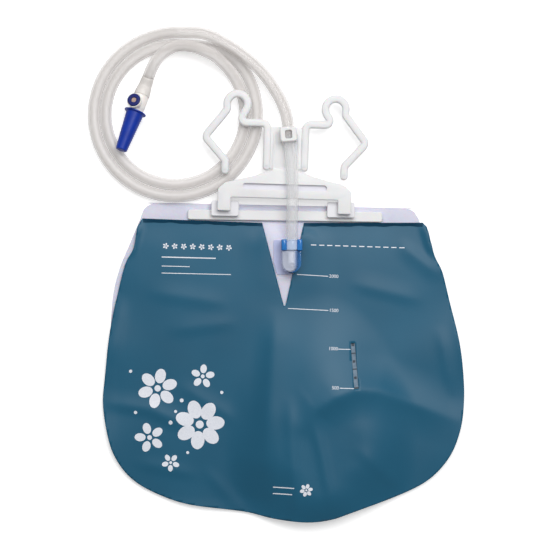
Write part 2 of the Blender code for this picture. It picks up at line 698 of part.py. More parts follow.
def make_chamber():
    """Every piece here hangs from a frame whose Z runs up the tube, towards the hanger."""
    chamber = frame("chamber_axis", (CHAMBER_AXIS_X, COLLAR_FOOT_Y, CHAMBER_AXIS_Z), (-math.pi / 2, 0.0, 0.0))
    plate = prism("chamber_flange", FLANGE_OUTLINE, FLANGE_BACK_Z, FLANGE_BACK_Z + FLANGE_THICKNESS)
    plate.location.x = CHAMBER_AXIS_X
    plate.location.y = COLLAR_FOOT_Y

    collar_outline = box_outline(COLLAR_WIDTH, COLLAR_HEIGHT, COLLAR_CORNER)
    collar = prism("inlet_collar", collar_outline, 0.0, COLLAR_LENGTH, COLLAR_EDGE)
    tube_foot = COLLAR_LENGTH - SOCKET_DEPTH
    tube_socket = rod("tube_socket", CHANNEL_RADIUS, tube_foot - SEAT_GAP, COLLAR_LENGTH + CUT_REACH)
    nozzle_socket = rod("nozzle_socket", NOZZLE_RADIUS + SEAT_GAP, -CUT_REACH, COLLAR_LENGTH)
    cut(collar, tube_socket, nozzle_socket)
    nozzle = pipe("drip_nozzle", NOZZLE_RADIUS, NOZZLE_BORE, -NOZZLE_REACH, tube_foot - 2 * SEAT_GAP, SMALL_STEPS)
    slant = prism("nozzle_slant", box_outline(CUT_REACH, CUT_REACH, middle=(0.0, -CUT_REACH / 2)), -CUT_REACH / 2, CUT_REACH / 2)
    slant.location = (0.0, 0.0, NOZZLE_BORE / 2 - NOZZLE_REACH)
    slant.rotation_euler = (NOZZLE_CUT, 0.0, 0.0)
    cut(nozzle, slant)
    hang(chamber, collar, tube_socket, nozzle_socket, nozzle, slant)

    cup = prism("drip_chamber", cup_outline(0.0, -SEAT_GAP), CHAMBER_BACK_Z, CHAMBER_BACK_Z + CUP_HEIGHT, CUP_EDGE)
    hollow = prism(
        "cup_hollow",
        cup_outline(CUP_WALL, CUT_REACH),
        CHAMBER_BACK_Z + CUP_WALL,
        CHAMBER_BACK_Z + CUP_HEIGHT - CUP_WALL,
    )
    for piece in (cup, hollow):
        piece.location.x = CHAMBER_AXIS_X + CUP_OFF_AXIS
        piece.location.y = COLLAR_FOOT_Y
    cut(cup, hollow)
    return plate, collar, nozzle, cup


def cup_outline(inset, top):
    """The cup's U shape below the collar's foot, smaller by an inset on its sides and foot."""
    half = CUP_WIDTH / 2 - inset
    foot = inset - CUP_LENGTH
    corner = 2 * half * ROUND_END
    return rounded(((-half, top, 0.0), (-half, foot, corner), (half, foot, corner), (half, top, 0.0)), closed=True)


# Drainage tube


def make_tube(name, route):
    curve = bpy.data.curves.new(name, "CURVE")
    curve.dimensions = "3D"
    curve.bevel_depth = TUBE_RADIUS
    curve.bevel_resolution = 3
    curve.use_fill_caps = True
    add_spline(curve, smooth_through(route, TUBE_POINT_STEP), False)
    return add_object(name, curve)


def make_coil():
    """The two turns side by side, as one ring with a rounded section."""
    inner = COIL_OUTER_RADIUS - COIL_TURNS * TUBE_DIAMETER - SEAT_GAP
    width = COIL_OUTER_RADIUS - inner
    middle = (inner + width / 2, TUBE_RADIUS)
    section = box_outline(width, TUBE_DIAMETER, TUBE_RADIUS * 0.6, middle, arc_step=math.radians(90))
    coil = turned("drainage_tube_coil", list(reversed(section)), closed=True, steps=COIL_STEPS)
    coil.location = (*COIL_CENTRE, 0.0)
    return coil


# Rail, sockets, hanger and clip


def make_rail_and_sockets(top):
    rail_frame = frame("rail_frame", (RAIL_X, BAG_TOP_Y - RAIL_BELOW_TOP, 0.0), (0.0, 0.0, RAIL_TURN))
    rail_outline = box_outline(RAIL_LENGTH, RAIL_WIDTH, RAIL_CORNER)
    rail = prism("top_rail", rail_outline, RAIL_BACK_Z, RAIL_BACK_Z + RAIL_THICKNESS, RAIL_EDGE)
    hang(rail_frame, rail)
    sockets = []
    for side, sign in (("left", -1), ("right", 1)):
        stud_x = sign * LEG_MIDDLE
        socket_middle = (stud_x + SOCKET_SHIFTS[side], SOCKET_ABOVE_RAIL)
        outline = box_outline(SOCKET_WIDTH, SOCKET_LENGTH, SOCKET_CORNER, socket_middle)
        socket = prism(f"rail_socket_{side}", outline, SOCKET_BACK_Z, HANGER_BACK_Z - SEAT_GAP, SOCKET_EDGE)
        bore = rod(f"socket_bore_{side}", STUD_RADIUS + SEAT_GAP, 0.0, HANGER_MIDDLE_Z)
        bore.location = (stud_x, STUD_Y, 0.0)
        cut(socket, bore)
        hang(rail_frame, socket)
        hang(top, bore)
        sockets.append(socket)
    return rail, sockets


def yoke_half():
    """The yoke's right half, from the top of its neck round the leg to the middle of its crossbar."""
    outer, inner = LEG_MIDDLE + LEG_WIDTH / 2, LEG_MIDDLE - LEG_WIDTH / 2
    return rounded((
        (0.0, NECK_TOP_Y, 0.0),
        (NECK_HALF_WIDTH, NECK_TOP_Y, 0.0),
        (NECK_HALF_WIDTH, NECK_FOOT_Y, 0.0),
        *YOKE_SHOULDER,
        (outer, *SHOULDER_FOOT),
        (outer, LEG_FOOT_Y, LEG_CORNER),
        (inner, LEG_FOOT_Y, LEG_CORNER),
        (inner, YOKE_FOOT_Y, LEG_CORNER),
        (0.0, YOKE_FOOT_Y, 0.0),
    ))


def hook_path(spring):
    """Middle line of a right hand hook's bar, from its free end over the crown to the column's foot."""
    across, along = spring
    turns = [CROWN_SWEEP * step / CROWN_STEPS for step in range(CROWN_STEPS + 1)]
    x, y = CROWN_MIDDLE
    crown = [(x + CROWN_RADIUS * math.cos(turn), y + CROWN_RADIUS * math.sin(turn), 0.0) for turn in turns]
    neck_x, neck_radius = ARM_NECK
    column = ((COLUMN_MIDDLE, ARM_Y, COLUMN_CORNER), (COLUMN_MIDDLE, COLUMN_FOOT_Y, 0.0))
    free = [(x + across, y + along, radius) for x, y, radius in (*HOOK_FREE_END, *crown)]
    return rounded((*free, (neck_x + across, ARM_Y, neck_radius), *column))


def make_hook(side, sign):
    """One bed-rail hook: a bar swept along its middle line."""
    section = bpy.data.curves.new("bar_section", "CURVE")
    section.dimensions = "2D"
    w, t, e = BAR_WIDTH / 2, BAR_THICKNESS / 2, BAR_EDGE
    corners = ((w - e, -t), (w, e - t), (w, t - e), (w - e, t), (e - w, t), (-w, t - e), (-w, e - t), (e - w, -t))
    add_spline(section, corners, True)
    section_object = add_object("bar_section", section)
    curve = bpy.data.curves.new(f"hook_{side}", "CURVE")
    curve.dimensions = "3D"
    curve.twist_mode = "Z_UP"
    curve.bevel_mode = "OBJECT"
    curve.bevel_object = section_object
    curve.use_fill_caps = True
    add_spline(curve, [(sign * x, y) for x, y in hook_path(HOOK_SPRING[side])], False)
    hook = add_object(f"hook_{side}", curve)
    hook.location.z = HANGER_MIDDLE_Z
    bpy.context.view_layer.update()
    solid = mesh_from_curve(hook)
    bpy.data.objects.remove(section_object)
    return solid


def make_bar_end(name, x, y):
    """The round end of a bar."""
    radius, half = BAR_WIDTH / 2 - BAR_END_INSET, BAR_THICKNESS / 2 - BAR_END_INSET
    chamfer = ((radius - BAR_EDGE, half), (radius, half - BAR_EDGE), (radius, BAR_EDGE - half), (radius - BAR_EDGE, -half))
    end = turned(name, ((0.0, half), *chamfer, (0.0, -half)), steps=SMALL_STEPS)
    end.location = (x, y, HANGER_MIDDLE_Z)
    return end


def make_hanger(top):
    """Yoke, ribbed web and two sprung hooks, as one moulding."""
    right = yoke_half()
    yoke_outline = right + [(-x, y) for x, y in reversed(right[1:-1])]
    hanger = prism("hanger", yoke_outline, YOKE_BACK_Z, YOKE_FRONT_Z, YOKE_EDGE)
    web_length = WEB_TOP_Y - WEB_FOOT_Y
    web_outline = box_outline(2 * WEB_HALF_WIDTH, web_length, WEB_CORNER, (0.0, WEB_FOOT_Y + web_length / 2))
    added = [prism("web", web_outline, WEB_BACK_Z, WEB_FRONT_Z)]
    for side, sign in (("left", -1), ("right", 1)):
        free_x, free_y = Vector(HOOK_FREE_END[0][:2]) + Vector(HOOK_SPRING[side])
        added.append(make_hook(side, sign))
        added.append(make_bar_end(f"hook_end_{side}", sign * free_x, free_y))
        added.append(make_bar_end(f"column_end_{side}", sign * COLUMN_MIDDLE, COLUMN_FOOT_Y))
        rib_outline = box_outline(RIB_WIDTH, RIB_LENGTH, middle=(sign * RIB_OFFSET, RIB_MIDDLE_Y))
        added.append(prism(f"rib_{side}", rib_outline, HANGER_MIDDLE_Z, WEB_FRONT_Z + RIB_HEIGHT))
        stud = rod(f"stud_{side}", STUD_RADIUS, HANGER_MIDDLE_Z - STUD_LENGTH, HANGER_MIDDLE_Z)
        stud.location = (sign * LEG_MIDDLE, STUD_Y, 0.0)
        added.append(stud)
    join(hanger, *added)

    recess_outline = box_outline(RECESS_LENGTH, RECESS_WIDTH, RECESS_WIDTH * ROUND_END, (0.0, RECESS_Y))
    recess = prism("recess", recess_outline, YOKE_FRONT_Z - RECESS_DEPTH, YOKE_FRONT_Z + CUT_REACH)
    clip_slots = [make_clip_slot(side, sign) for side, sign in (("left", -1), ("right", 1))]
    cut(hanger, recess, *clip_slots)
    hang(top, hanger, recess, *added)
    return hanger, clip_slots


def make_clip_slot(side, sign):
    """Slot through the web for one of the clip's legs, in the clip's own frame."""
    inner = CHANNEL_RADIUS - SEAT_GAP
    outer = CLIP_WIDTH / 2 + SEAT_GAP
    middle = (sign * (inner + outer) / 2, 0.0)
    outline = box_outline(outer - inner, CLIP_LEG_LENGTH + 2 * SEAT_GAP, middle=middle)
    return prism(f"clip_slot_{side}", outline, HANGER_BACK_Z, WEB_FRONT_Z + SEAT_GAP)


def make_clip(clip_frame):
    """A saddle over the tube with a square head, and two barbed legs through the web."""
    back = WEB_FRONT_Z + SEAT_GAP
    clip = prism("tube_clip", box_outline(CLIP_WIDTH, CLIP_LENGTH, CLIP_CORNER), back, CLIP_FRONT_Z, CLIP_EDGE)
    legs = []
    for side, sign in (("left", -1), ("right", 1)):
        width = CLIP_WIDTH / 2 - CHANNEL_RADIUS
        x = sign * (CHANNEL_RADIUS + width / 2)
        leg_outline = box_outline(width, CLIP_LEG_LENGTH, middle=(x, 0.0))
        barb_middle = (x + sign * CLIP_BARB / 2, 0.0)
        barb_outline = box_outline(width + CLIP_BARB, CLIP_LEG_LENGTH - CLIP_BARB, middle=barb_middle)
        legs.append(prism(f"clip_leg_{side}", leg_outline, HANGER_BACK_Z, CLIP_TUBE_Z))
        legs.append(prism(f"clip_barb_{side}", barb_outline, HANGER_BACK_Z + WELD_DISTANCE * 10, WEB_BACK_Z - SEAT_GAP))
    join(clip, *legs)
    channel = rod("clip_channel", CHANNEL_RADIUS, -CLIP_LENGTH, CLIP_LENGTH)
    channel.location.z = CLIP_TUBE_Z
    channel.rotation_euler.x = math.pi / 2
    opening = prism("clip_opening", box_outline(2 * CHANNEL_RADIUS, 2 * CLIP_LENGTH), 0.0, CLIP_TUBE_Z)
    window_outline = box_outline(*CLIP_WINDOW, CLIP_WINDOW_CORNER)
    window = prism("clip_window", window_outline, CLIP_TUBE_Z, CLIP_FRONT_Z + CUT_REACH)
    cut(clip, channel, opening, window)
    hang(clip_frame, clip, *legs, channel, opening, window)
    return clip


# Connector, port and cap


def connector_profile():
    """From the catheter tip's end back over its steps, the neck and the hub to the tube's end."""
    profile = [(CONNECTOR_BORE, TIP_END), (TIP_RADII[-1] - TIP_EDGE / 2, TIP_END), (TIP_RADII[-1], TIP_END - TIP_EDGE)]
    for radius, wider, step in zip(TIP_RADII[:0:-1], TIP_RADII[-2::-1], TIP_STEPS[:0:-1]):
        profile += [(radius, step), (wider, step - TIP_EDGE)]
    profile += [(TIP_RADII[0], TIP_STEPS[0]), (NECK_RADIUS, TIP_STEPS[0]), (NECK_RADIUS, HUB_END + HUB_TAPER)]
    profile += [(HUB_RADIUS, HUB_END), (HUB_RADIUS, HUB_START), (NECK_RADIUS, HUB_START - HUB_TAPER)]
    return [*profile, (NECK_RADIUS, SEAT_GAP), (CONNECTOR_BORE, SEAT_GAP)]


def make_connector():
    direction = Vector((math.cos(CONNECTOR_HEADING), math.sin(CONNECTOR_HEADING), math.tan(CONNECTOR_RISE)))
    axis = frame("connector_axis", CONNECTOR_AT, direction.to_track_quat("Z", "Y").to_euler())
    connector = turned("sample_connector", connector_profile(), closed=True)

    port_axis = frame("port_axis", (0.0, 0.0, PORT_FROM_END), (-math.pi / 2, 0.0, PORT_LEAN), axis)
    floor = PORT_HEIGHT - PORT_RECESS
    recess_radius = PORT_RADIUS - PORT_WALL
    root = HUB_RADIUS / 2
    port_profile = (
        (0.0, floor), (recess_radius, floor), (recess_radius, PORT_HEIGHT), (PORT_RADIUS, PORT_HEIGHT),
        (PORT_RADIUS, PORT_HEIGHT - PORT_LIP), (PORT_STEM_RADIUS, PORT_HEIGHT - PORT_LIP - HUB_TAPER),
        (PORT_STEM_RADIUS, root), (0.0, root),
    )
    port = turned("side_port", port_profile)
    join(connector, port)
    ring_back = floor + SEAT_GAP
    ring_top = ring_back + PORT_RING_HEIGHT
    ring_outer = recess_radius - SEAT_GAP
    ring_inner = SEPTUM_RADIUS + SEAT_GAP
    ring_profile = (
        (ring_inner, ring_top - PORT_RING_EDGE), (ring_inner + PORT_RING_EDGE, ring_top),
        (ring_outer - PORT_RING_EDGE, ring_top), (ring_outer, ring_top - PORT_RING_EDGE),
        (ring_outer, ring_back), (ring_inner, ring_back),
    )
    ring = turned("sample_port_ring", ring_profile, closed=True)
    septum = rod("sample_septum", SEPTUM_RADIUS, ring_back, ring_top - SEPTUM_DROP, SMALL_STEPS)
    hang(axis, connector)
    hang(port_axis, port, ring, septum)

    cap = turned("protector_cap", cap_profile())
    cap.location.z = CAP_FROM_END
    hang(axis, cap)
    return connector, ring, septum, cap


def cap_profile():
    """From the middle of the closed end, out over it, down to the flange and back up the cavity."""
    fall = (CAP_MOUTH_RADIUS - CAP_TIP_RADIUS) / CAP_LENGTH
    cavity_end = CAP_LENGTH - CAP_WALL
    mouth = CAP_MOUTH_RADIUS - CAP_WALL
    flange = CAP_MOUTH_RADIUS + CAP_FLANGE_OVERHANG
    flange_edge = CAP_FLANGE_THICKNESS / 4
    return (
        (0.0, CAP_LENGTH), (CAP_TIP_RADIUS - CAP_EDGE, CAP_LENGTH), (CAP_TIP_RADIUS, CAP_LENGTH - CAP_EDGE),
        (CAP_MOUTH_RADIUS - fall * CAP_FLANGE_THICKNESS, CAP_FLANGE_THICKNESS),
        (flange - flange_edge, CAP_FLANGE_THICKNESS), (flange, CAP_FLANGE_THICKNESS - flange_edge),
        (flange, flange_edge), (flange - flange_edge, 0.0), (mouth, 0.0),
        (mouth - fall * cavity_end, cavity_end), (0.0, cavity_end),
    )


# Outlet and tap under the flap


def make_outlet():
    """Every piece here hangs from a frame whose Z runs along the flow, to the bag's foot."""
    axis = frame("outlet_axis", (*OUTLET_AT, OUTLET_AXIS_Z), (math.pi / 2, 0.0, 0.0))
    hub_end = OUTLET_HUB_LENGTH / 2
    hub_profile = (
        (0.0, hub_end), (OUTLET_HUB_RADIUS, hub_end), (OUTLET_HUB_RADIUS, -hub_end * OUTLET_HUB_NOSE),
        (OUTLET_HUB_RADIUS * OUTLET_HUB_NOSE, -hub_end), (0.0, -hub_end),
    )
    hub = turned("outlet_hub", hub_profile)
    spigot_radius = OUTLET_TUBE_BORE - SEAT_GAP
    spigot = rod("outlet_spigot", spigot_radius, 0.0, hub_end + OUTLET_SPIGOT, SMALL_STEPS)
    outlet_bore = rod("outlet_bore", TAP_FLOW_BORE, 0.0, hub_end + OUTLET_SPIGOT + CUT_REACH, SMALL_STEPS)
    flange_back = OUTLET_SEAT_Z + SEAT_GAP
    flange = rod("outlet_flange", OUTLET_FLANGE_RADIUS, flange_back, flange_back + OUTLET_FLANGE_THICKNESS)
    flange.location = (*OUTLET_AT, 0.0)
    join(flange, hub, spigot)
    cut(flange, outlet_bore)

    tube_start = hub_end + SEAT_GAP
    tube_end = tube_start + OUTLET_TUBE_LENGTH
    outlet_tube = pipe("outlet_tube", OUTLET_TUBE_RADIUS, OUTLET_TUBE_BORE, tube_start, tube_end)
    hang(axis, hub, spigot, outlet_bore, outlet_tube)
    return flange, outlet_tube, *make_tap(axis, tube_end + SEAT_GAP)


def make_tap(axis, start):
    """Slide tap: a barrel across the flow, and a slide with a hole that lines up when pushed."""
    tap_axis = frame("tap_axis", (0.0, 0.0, TAP_FROM_FLANGE), parent=axis)
    barrel_half = TAP_BARREL_LENGTH / 2
    body = rod("tap_body", TAP_BARREL_RADIUS, -barrel_half, barrel_half)
    body.rotation_euler.y = math.pi / 2
    neck_start = start - TAP_FROM_FLANGE
    nozzle_end = TAP_BARREL_RADIUS + TAP_NOZZLE_LENGTH
    neck_profile = (
        (0.0, nozzle_end), (TAP_NOZZLE_END_RADIUS, nozzle_end), (TAP_NECK_RADIUS, TAP_BARREL_RADIUS + TAP_NECK_LENGTH),
        (TAP_NECK_RADIUS, neck_start), (0.0, neck_start),
    )
    neck = turned("tap_neck", neck_profile)
    spigot_radius = OUTLET_TUBE_BORE - SEAT_GAP
    spigot = rod("tap_spigot", spigot_radius, neck_start - OUTLET_SPIGOT, neck_start + TAP_NECK_LENGTH, SMALL_STEPS)
    barrel_bore = rod("barrel_bore", TAP_BARREL_BORE, -barrel_half - CUT_REACH, barrel_half + CUT_REACH)
    barrel_bore.rotation_euler.y = math.pi / 2
    flow_bore = rod("flow_bore", TAP_FLOW_BORE, neck_start - CUT_REACH, nozzle_end + CUT_REACH, SMALL_STEPS)
    join(body, neck, spigot)
    cut(body, barrel_bore, flow_bore)

    slide_axis = frame("slide_axis", (0.0, 0.0, 0.0), (0.0, math.pi / 2, 0.0), tap_axis)
    rod_start = -barrel_half - SEAT_GAP
    slide = turned("tap_slide", slide_profile(rod_start))
    pads = []
    for side, place in (("left", rod_start - TAP_PAD_THICKNESS), ("right", rod_start + SLIDE_ROD_LENGTH)):
        outline = box_outline(2 * TAP_BARREL_RADIUS, TAP_PAD_WIDTH, TAP_PAD_CORNER)
        pads.append(prism(f"slide_pad_{side}", outline, place, place + TAP_PAD_THICKNESS, TAP_PAD_EDGE))
    join(slide, *pads)
    slide_hole = rod("slide_hole", TAP_FLOW_BORE, -CUT_REACH, CUT_REACH, SMALL_STEPS)
    slide_hole.location.z = TAP_TRAVEL
    slide_hole.rotation_euler.y = math.pi / 2
    cut(slide, slide_hole)
    seals = [make_seal(side, offset) for side, offset in SEAL_OFFSETS.items()]
    hang(tap_axis, body, neck, spigot, barrel_bore, flow_bore)
    hang(slide_axis, slide, *pads, slide_hole, *seals)
    return body, slide, *seals


def groove_radius():
    return TAP_BARREL_BORE - 2 * SEAL_RADIUS - 2 * SEAT_GAP


def slide_profile(rod_start):
    """The slide's rod with a groove for each seal, its ends sunk into the pads."""
    overlap = TAP_PAD_THICKNESS / 2
    top = rod_start + SLIDE_ROD_LENGTH + overlap
    profile = [(0.0, top), (SLIDE_ROD_RADIUS, top)]
    half = SEAL_RADIUS + SEAT_GAP
    for offset in sorted(SEAL_OFFSETS.values(), reverse=True):
        profile += [(SLIDE_ROD_RADIUS, offset + half), (groove_radius(), offset + half)]
        profile += [(groove_radius(), offset - half), (SLIDE_ROD_RADIUS, offset - half)]
    bottom = rod_start - overlap
    return [*profile, (SLIDE_ROD_RADIUS, bottom), (0.0, bottom)]


def make_seal(side, offset):
    """A rubber ring in its groove."""
    middle = groove_radius() + SEAT_GAP + SEAL_RADIUS
    turns = [-math.tau * step / SEAL_STEPS for step in range(SEAL_STEPS)]
    section = [(middle + SEAL_RADIUS * math.cos(turn), offset + SEAL_RADIUS * math.sin(turn)) for turn in turns]
    return turned(f"tap_seal_{side}", section, closed=True, steps=2 * SEAL_STEPS)


def paint(material, *objects):
    for obj in objects:
        obj.data.materials.append(material)


def main():
    film = make_material("clear_pvc_film", "e2e0ea", 0.25, 0.3)
    vinyl = make_material("teal_vinyl", "3d6b86", 0.35)
    white_plastic = make_material("white_polypropylene", "efeff0", 0.4)
    clear_pvc = make_material("clear_pvc_tube", "dcdad9", 0.2, 0.6)
    blue_clear = make_material("blue_clear_plastic", "2f7fcf", 0.15, 0.5)
    clear_plastic = make_material("clear_plastic", "b6c4ea", 0.1, 0.7)
    blue_cap = make_material("blue_polyethylene", "0b3a9c", 0.35)
    rubber = make_material("tan_rubber", "b59a8c", 0.7)
    seal_rubber = make_material("dark_rubber", "2b2d30", 0.6)

    paint(film, make_reservoir_bag())
    paint(vinyl, make_privacy_flap())

    flange, collar, nozzle, cup = make_chamber()
    paint(clear_plastic, flange, nozzle, cup)
    paint(blue_clear, collar)

    run = make_tube("drainage_tube_run", RUN_ROUTE)
    tail = make_tube("drainage_tube_tail", TAIL_ROUTE)
    paint(clear_pvc, run, make_coil(), tail)

    top = frame("top_frame", (*TOP_FRAME_AT, 0.0), (0.0, 0.0, TOP_FRAME_TURN))
    rail, sockets = make_rail_and_sockets(top)
    hanger, clip_slots = make_hanger(top)
    clip_frame = frame("clip_frame", (*CLIP_AT, 0.0), (0.0, 0.0, CLIP_TURN), top)
    hang(clip_frame, *clip_slots)
    clip = make_clip(clip_frame)
    paint(white_plastic, rail, *sockets, hanger, clip)

    connector, ring, septum, cap = make_connector()
    paint(white_plastic, connector)
    paint(blue_cap, ring, cap)
    paint(rubber, septum)

    outlet_flange, outlet_tube, tap_body, tap_slide, *seals = make_outlet()
    paint(clear_pvc, outlet_flange, outlet_tube)
    paint(white_plastic, tap_body)
    paint(blue_cap, tap_slide)
    paint(seal_rubber, *seals)


main()
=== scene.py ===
import math

import bmesh
import bpy
from mathutils import Matrix, Vector, noise


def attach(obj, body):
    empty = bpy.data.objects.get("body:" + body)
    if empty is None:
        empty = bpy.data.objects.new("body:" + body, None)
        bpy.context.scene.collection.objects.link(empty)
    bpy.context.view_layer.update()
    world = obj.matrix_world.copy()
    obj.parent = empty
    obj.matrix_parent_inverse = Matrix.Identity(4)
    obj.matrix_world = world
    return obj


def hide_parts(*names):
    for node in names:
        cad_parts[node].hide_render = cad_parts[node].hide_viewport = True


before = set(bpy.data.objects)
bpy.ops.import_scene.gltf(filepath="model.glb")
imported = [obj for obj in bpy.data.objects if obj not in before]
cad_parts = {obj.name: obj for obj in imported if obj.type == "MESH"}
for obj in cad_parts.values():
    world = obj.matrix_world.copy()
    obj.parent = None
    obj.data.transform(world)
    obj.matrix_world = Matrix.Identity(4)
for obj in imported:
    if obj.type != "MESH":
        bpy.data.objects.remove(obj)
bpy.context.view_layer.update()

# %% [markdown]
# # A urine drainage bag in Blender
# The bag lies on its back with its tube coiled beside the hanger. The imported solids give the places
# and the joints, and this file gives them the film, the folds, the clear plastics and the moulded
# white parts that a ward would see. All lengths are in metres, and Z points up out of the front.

# How much of the floor a pixel of the photograph shows, and the pixel at x 0 and y 0
PIXEL = 0.00085
MIDDLE_PIXEL = (283.5, 305)


def mm(value):
    """Millimetres as metres."""
    return value / 1000


def seen(column, row):
    """A place in the photograph, by its pixel's column and row, as x and y on the floor."""
    return Vector((column - MIDDLE_PIXEL[0], MIDDLE_PIXEL[1] - row)) * PIXEL


def in_mm(*corners):
    """Corners written in millimetres, as metres."""
    return [tuple(mm(value) for value in corner) for corner in corners]


def new_object(name, data):
    """An object in the scene, at the origin."""
    obj = bpy.data.objects.new(name, data)
    bpy.context.scene.collection.objects.link(obj)
    return obj


def new_mesh(name, bm):
    """A mesh from a bmesh that nothing else needs."""
    mesh = bpy.data.meshes.new(name)
    bm.to_mesh(mesh)
    bm.free()
    return mesh


# %% [markdown]
# ## Camera
# The photograph looks straight down from a good height, so the view has almost no perspective. A
# long lens does that: from 1.8 m up, 138.6 mm of focal length takes in 467.5 mm of the floor.

# %% Camera
SENSOR_WIDTH = 36
LENS = 138.6
CAMERA_PLACE = (-0.0072, 0.0255, 1.80)
camera_data = bpy.data.cameras.new("camera")
camera_data.sensor_width = SENSOR_WIDTH
camera_data.lens = LENS
camera = new_object("camera", camera_data)
camera.location = CAMERA_PLACE
bpy.context.scene.camera = camera
bpy.context.scene.view_settings.view_transform = "Standard"
print("camera covers", round(SENSOR_WIDTH / LENS * CAMERA_PLACE[2], 4), "m")

# %% [markdown]
# ## Lines
# Tubes, bars and outlines all follow lines. One function rounds the corners of a line, and one draws
# a smooth line through places.


# %% Lines with rounded corners
def rounded(corners, closed=False, step=math.radians(9)):
    """A path through corners, each x, y and radius, with an arc at every corner that has a radius."""
    count = len(corners)
    path = []
    for index, (x, y, radius) in enumerate(corners):
        here = Vector((x, y))
        if radius == 0.0 or not closed and index in (0, count - 1):
            path.append(here)
            continue
        back = (Vector(corners[index - 1][:2]) - here).normalized()
        onward = (Vector(corners[(index + 1) % count][:2]) - here).normalized()
        half = back.angle(onward) / 2
        centre = here + (back + onward).normalized() * radius / math.sin(half)
        spoke = here + back * radius / math.tan(half) - centre
        sweep = math.pi - 2 * half
        turn = math.copysign(sweep, -back.cross(onward))
        steps = max(1, round(sweep / step))
        path += [centre + Matrix.Rotation(turn * i / steps, 2) @ spoke for i in range(steps + 1)]
    return path


def smooth_through(points, spacing):
    """Points about this far apart on a smooth line through the given ones."""
    points = [Vector(point) for point in points]
    reach = [2 * points[0] - points[1], *points, 2 * points[-1] - points[-2]]
    line = []
    for before, start, end, after in zip(reach, reach[1:], reach[2:], reach[3:]):
        count = max(1, round((end - start).length / spacing))
        for step in range(count):
            t = step / count
            pull = (end - before) / 2
            push = (after - start) / 2
            line.append(
                start * (2 * t**3 - 3 * t**2 + 1) + pull * (t**3 - 2 * t**2 + t)
                + end * (3 * t**2 - 2 * t**3) + push * (t**3 - t**2)
            )
    return [*line, points[-1]]


# %% [markdown]
# ## Materials
# Colours are written as the hex codes that a screen shows, and one function turns them into the linear
# values that shaders use. No real face has one even colour, so most materials here drift between two
# near tones, and moulded ones have a faint grain too.


# %% Colours and nodes
def linear(code):
    """An sRGB hex code as the linear colour that a shader takes."""
    channels = [int(code[start:start + 2], 16) / 255 for start in (0, 2, 4)]
    return (*[c / 12.92 if c <= 0.04045 else ((c + 0.055) / 1.055) ** 2.4 for c in channels], 1.0)


def add_node(material, kind, settings, links=()):
    """Adds a node, sets its sockets or properties, and links its sockets to other nodes' outputs."""
    node = material.node_tree.nodes.new(kind)
    for name, value in settings.items():
        if isinstance(name, str) and hasattr(node, name):
            setattr(node, name, value)
        else:
            node.inputs[name].default_value = value
    for name, output in dict(links).items():
        material.node_tree.links.new(output, node.inputs[name])
    return node


# %% Mottled and moulded finishes
def start_material(name, roughness, **sockets):
    """A material with one principled shader, its plain values set on the shader's own sockets."""
    material = bpy.data.materials.new(name)
    material.use_nodes = True
    shader = material.node_tree.nodes["Principled BSDF"]
    shader.inputs["Roughness"].default_value = roughness
    for socket, value in sockets.items():
        shader.inputs[socket.replace("_", " ")].default_value = value
    print("material", name)
    return material, shader


def mottled(name, dark, light, patch, roughness, detail=2.0, grain=(), **sockets):
    """A material whose colour drifts between two hex codes, over patches of a size in millimetres.

    Its grain, if it has one, has a size in millimetres, a strength and a depth in millimetres.
    """
    material, shader = start_material(name, roughness, **sockets)
    place = add_node(material, "ShaderNodeTexCoord", {}).outputs["Object"]
    drift = add_node(
        material, "ShaderNodeTexNoise", {"Scale": 1 / mm(patch), "Detail": detail}, {"Vector": place}
    )
    tint = add_node(
        material, "ShaderNodeMix", {"data_type": "RGBA", 6: linear(dark), 7: linear(light)},
        {0: drift.outputs["Fac"]},
    )
    material.node_tree.links.new(tint.outputs[2], shader.inputs["Base Color"])
    if grain:
        size, strength, depth = grain
        face = add_node(
            material, "ShaderNodeTexNoise", {"Scale": 1 / mm(size), "Detail": 2.0}, {"Vector": place}
        )
        bump = add_node(
            material, "ShaderNodeBump", {"Strength": strength, "Distance": mm(depth)},
            {"Height": face.outputs["Fac"]},
        )
        material.node_tree.links.new(bump.outputs["Normal"], shader.inputs["Normal"])
    return material


def moulded(name, dark, light, patch, depth, roughness, **sockets):
    """A mottled material with the grain that a mould leaves, drawn coarser than it is, so that it shows."""
    return mottled(name, dark, light, patch, roughness, grain=(1.43, 0.1, depth), **sockets)


# %% [markdown]
# ## Light and floor
# A packshot like this is lit by large soft sources from all round, so shadows are faint. Two wide area
# lamps and a pale world do that. The floor is matt white paper that also glows a little for the camera,
# so that it reaches pure white and still keeps the part's soft shadow.


# %% Lamps and world
def add_lamp(name, place, size, watts):
    lamp = bpy.data.lights.new(name, "AREA")
    lamp.shape = "DISK"
    lamp.size = size
    lamp.energy = watts
    obj = new_object(name, lamp)
    obj.location = place
    obj.rotation_euler = (-Vector(place)).to_track_quat("-Z", "Y").to_euler()


add_lamp("key_lamp", place=(0.40, 0.66, 1.52), size=1.1, watts=17.4)
add_lamp("fill_lamp", place=(-0.35, 0.95, 1.2), size=0.9, watts=5.8)
world = bpy.data.worlds.new("studio")
world.use_nodes = True
background = world.node_tree.nodes["Background"]
background.inputs["Color"].default_value = (1.0, 1.0, 1.0, 1.0)
background.inputs["Strength"].default_value = 0.30
bpy.context.scene.world = world

# %% Floor
FLOOR_HALF = 2.5
FLOOR_Z = -mm(0.15)
FLOOR_GLOW = 0.42
bm = bmesh.new()
bmesh.ops.create_grid(bm, x_segments=1, y_segments=1, size=FLOOR_HALF)
floor_mesh = new_mesh("floor", bm)
floor = new_object("floor", floor_mesh)
floor.location.z = FLOOR_Z
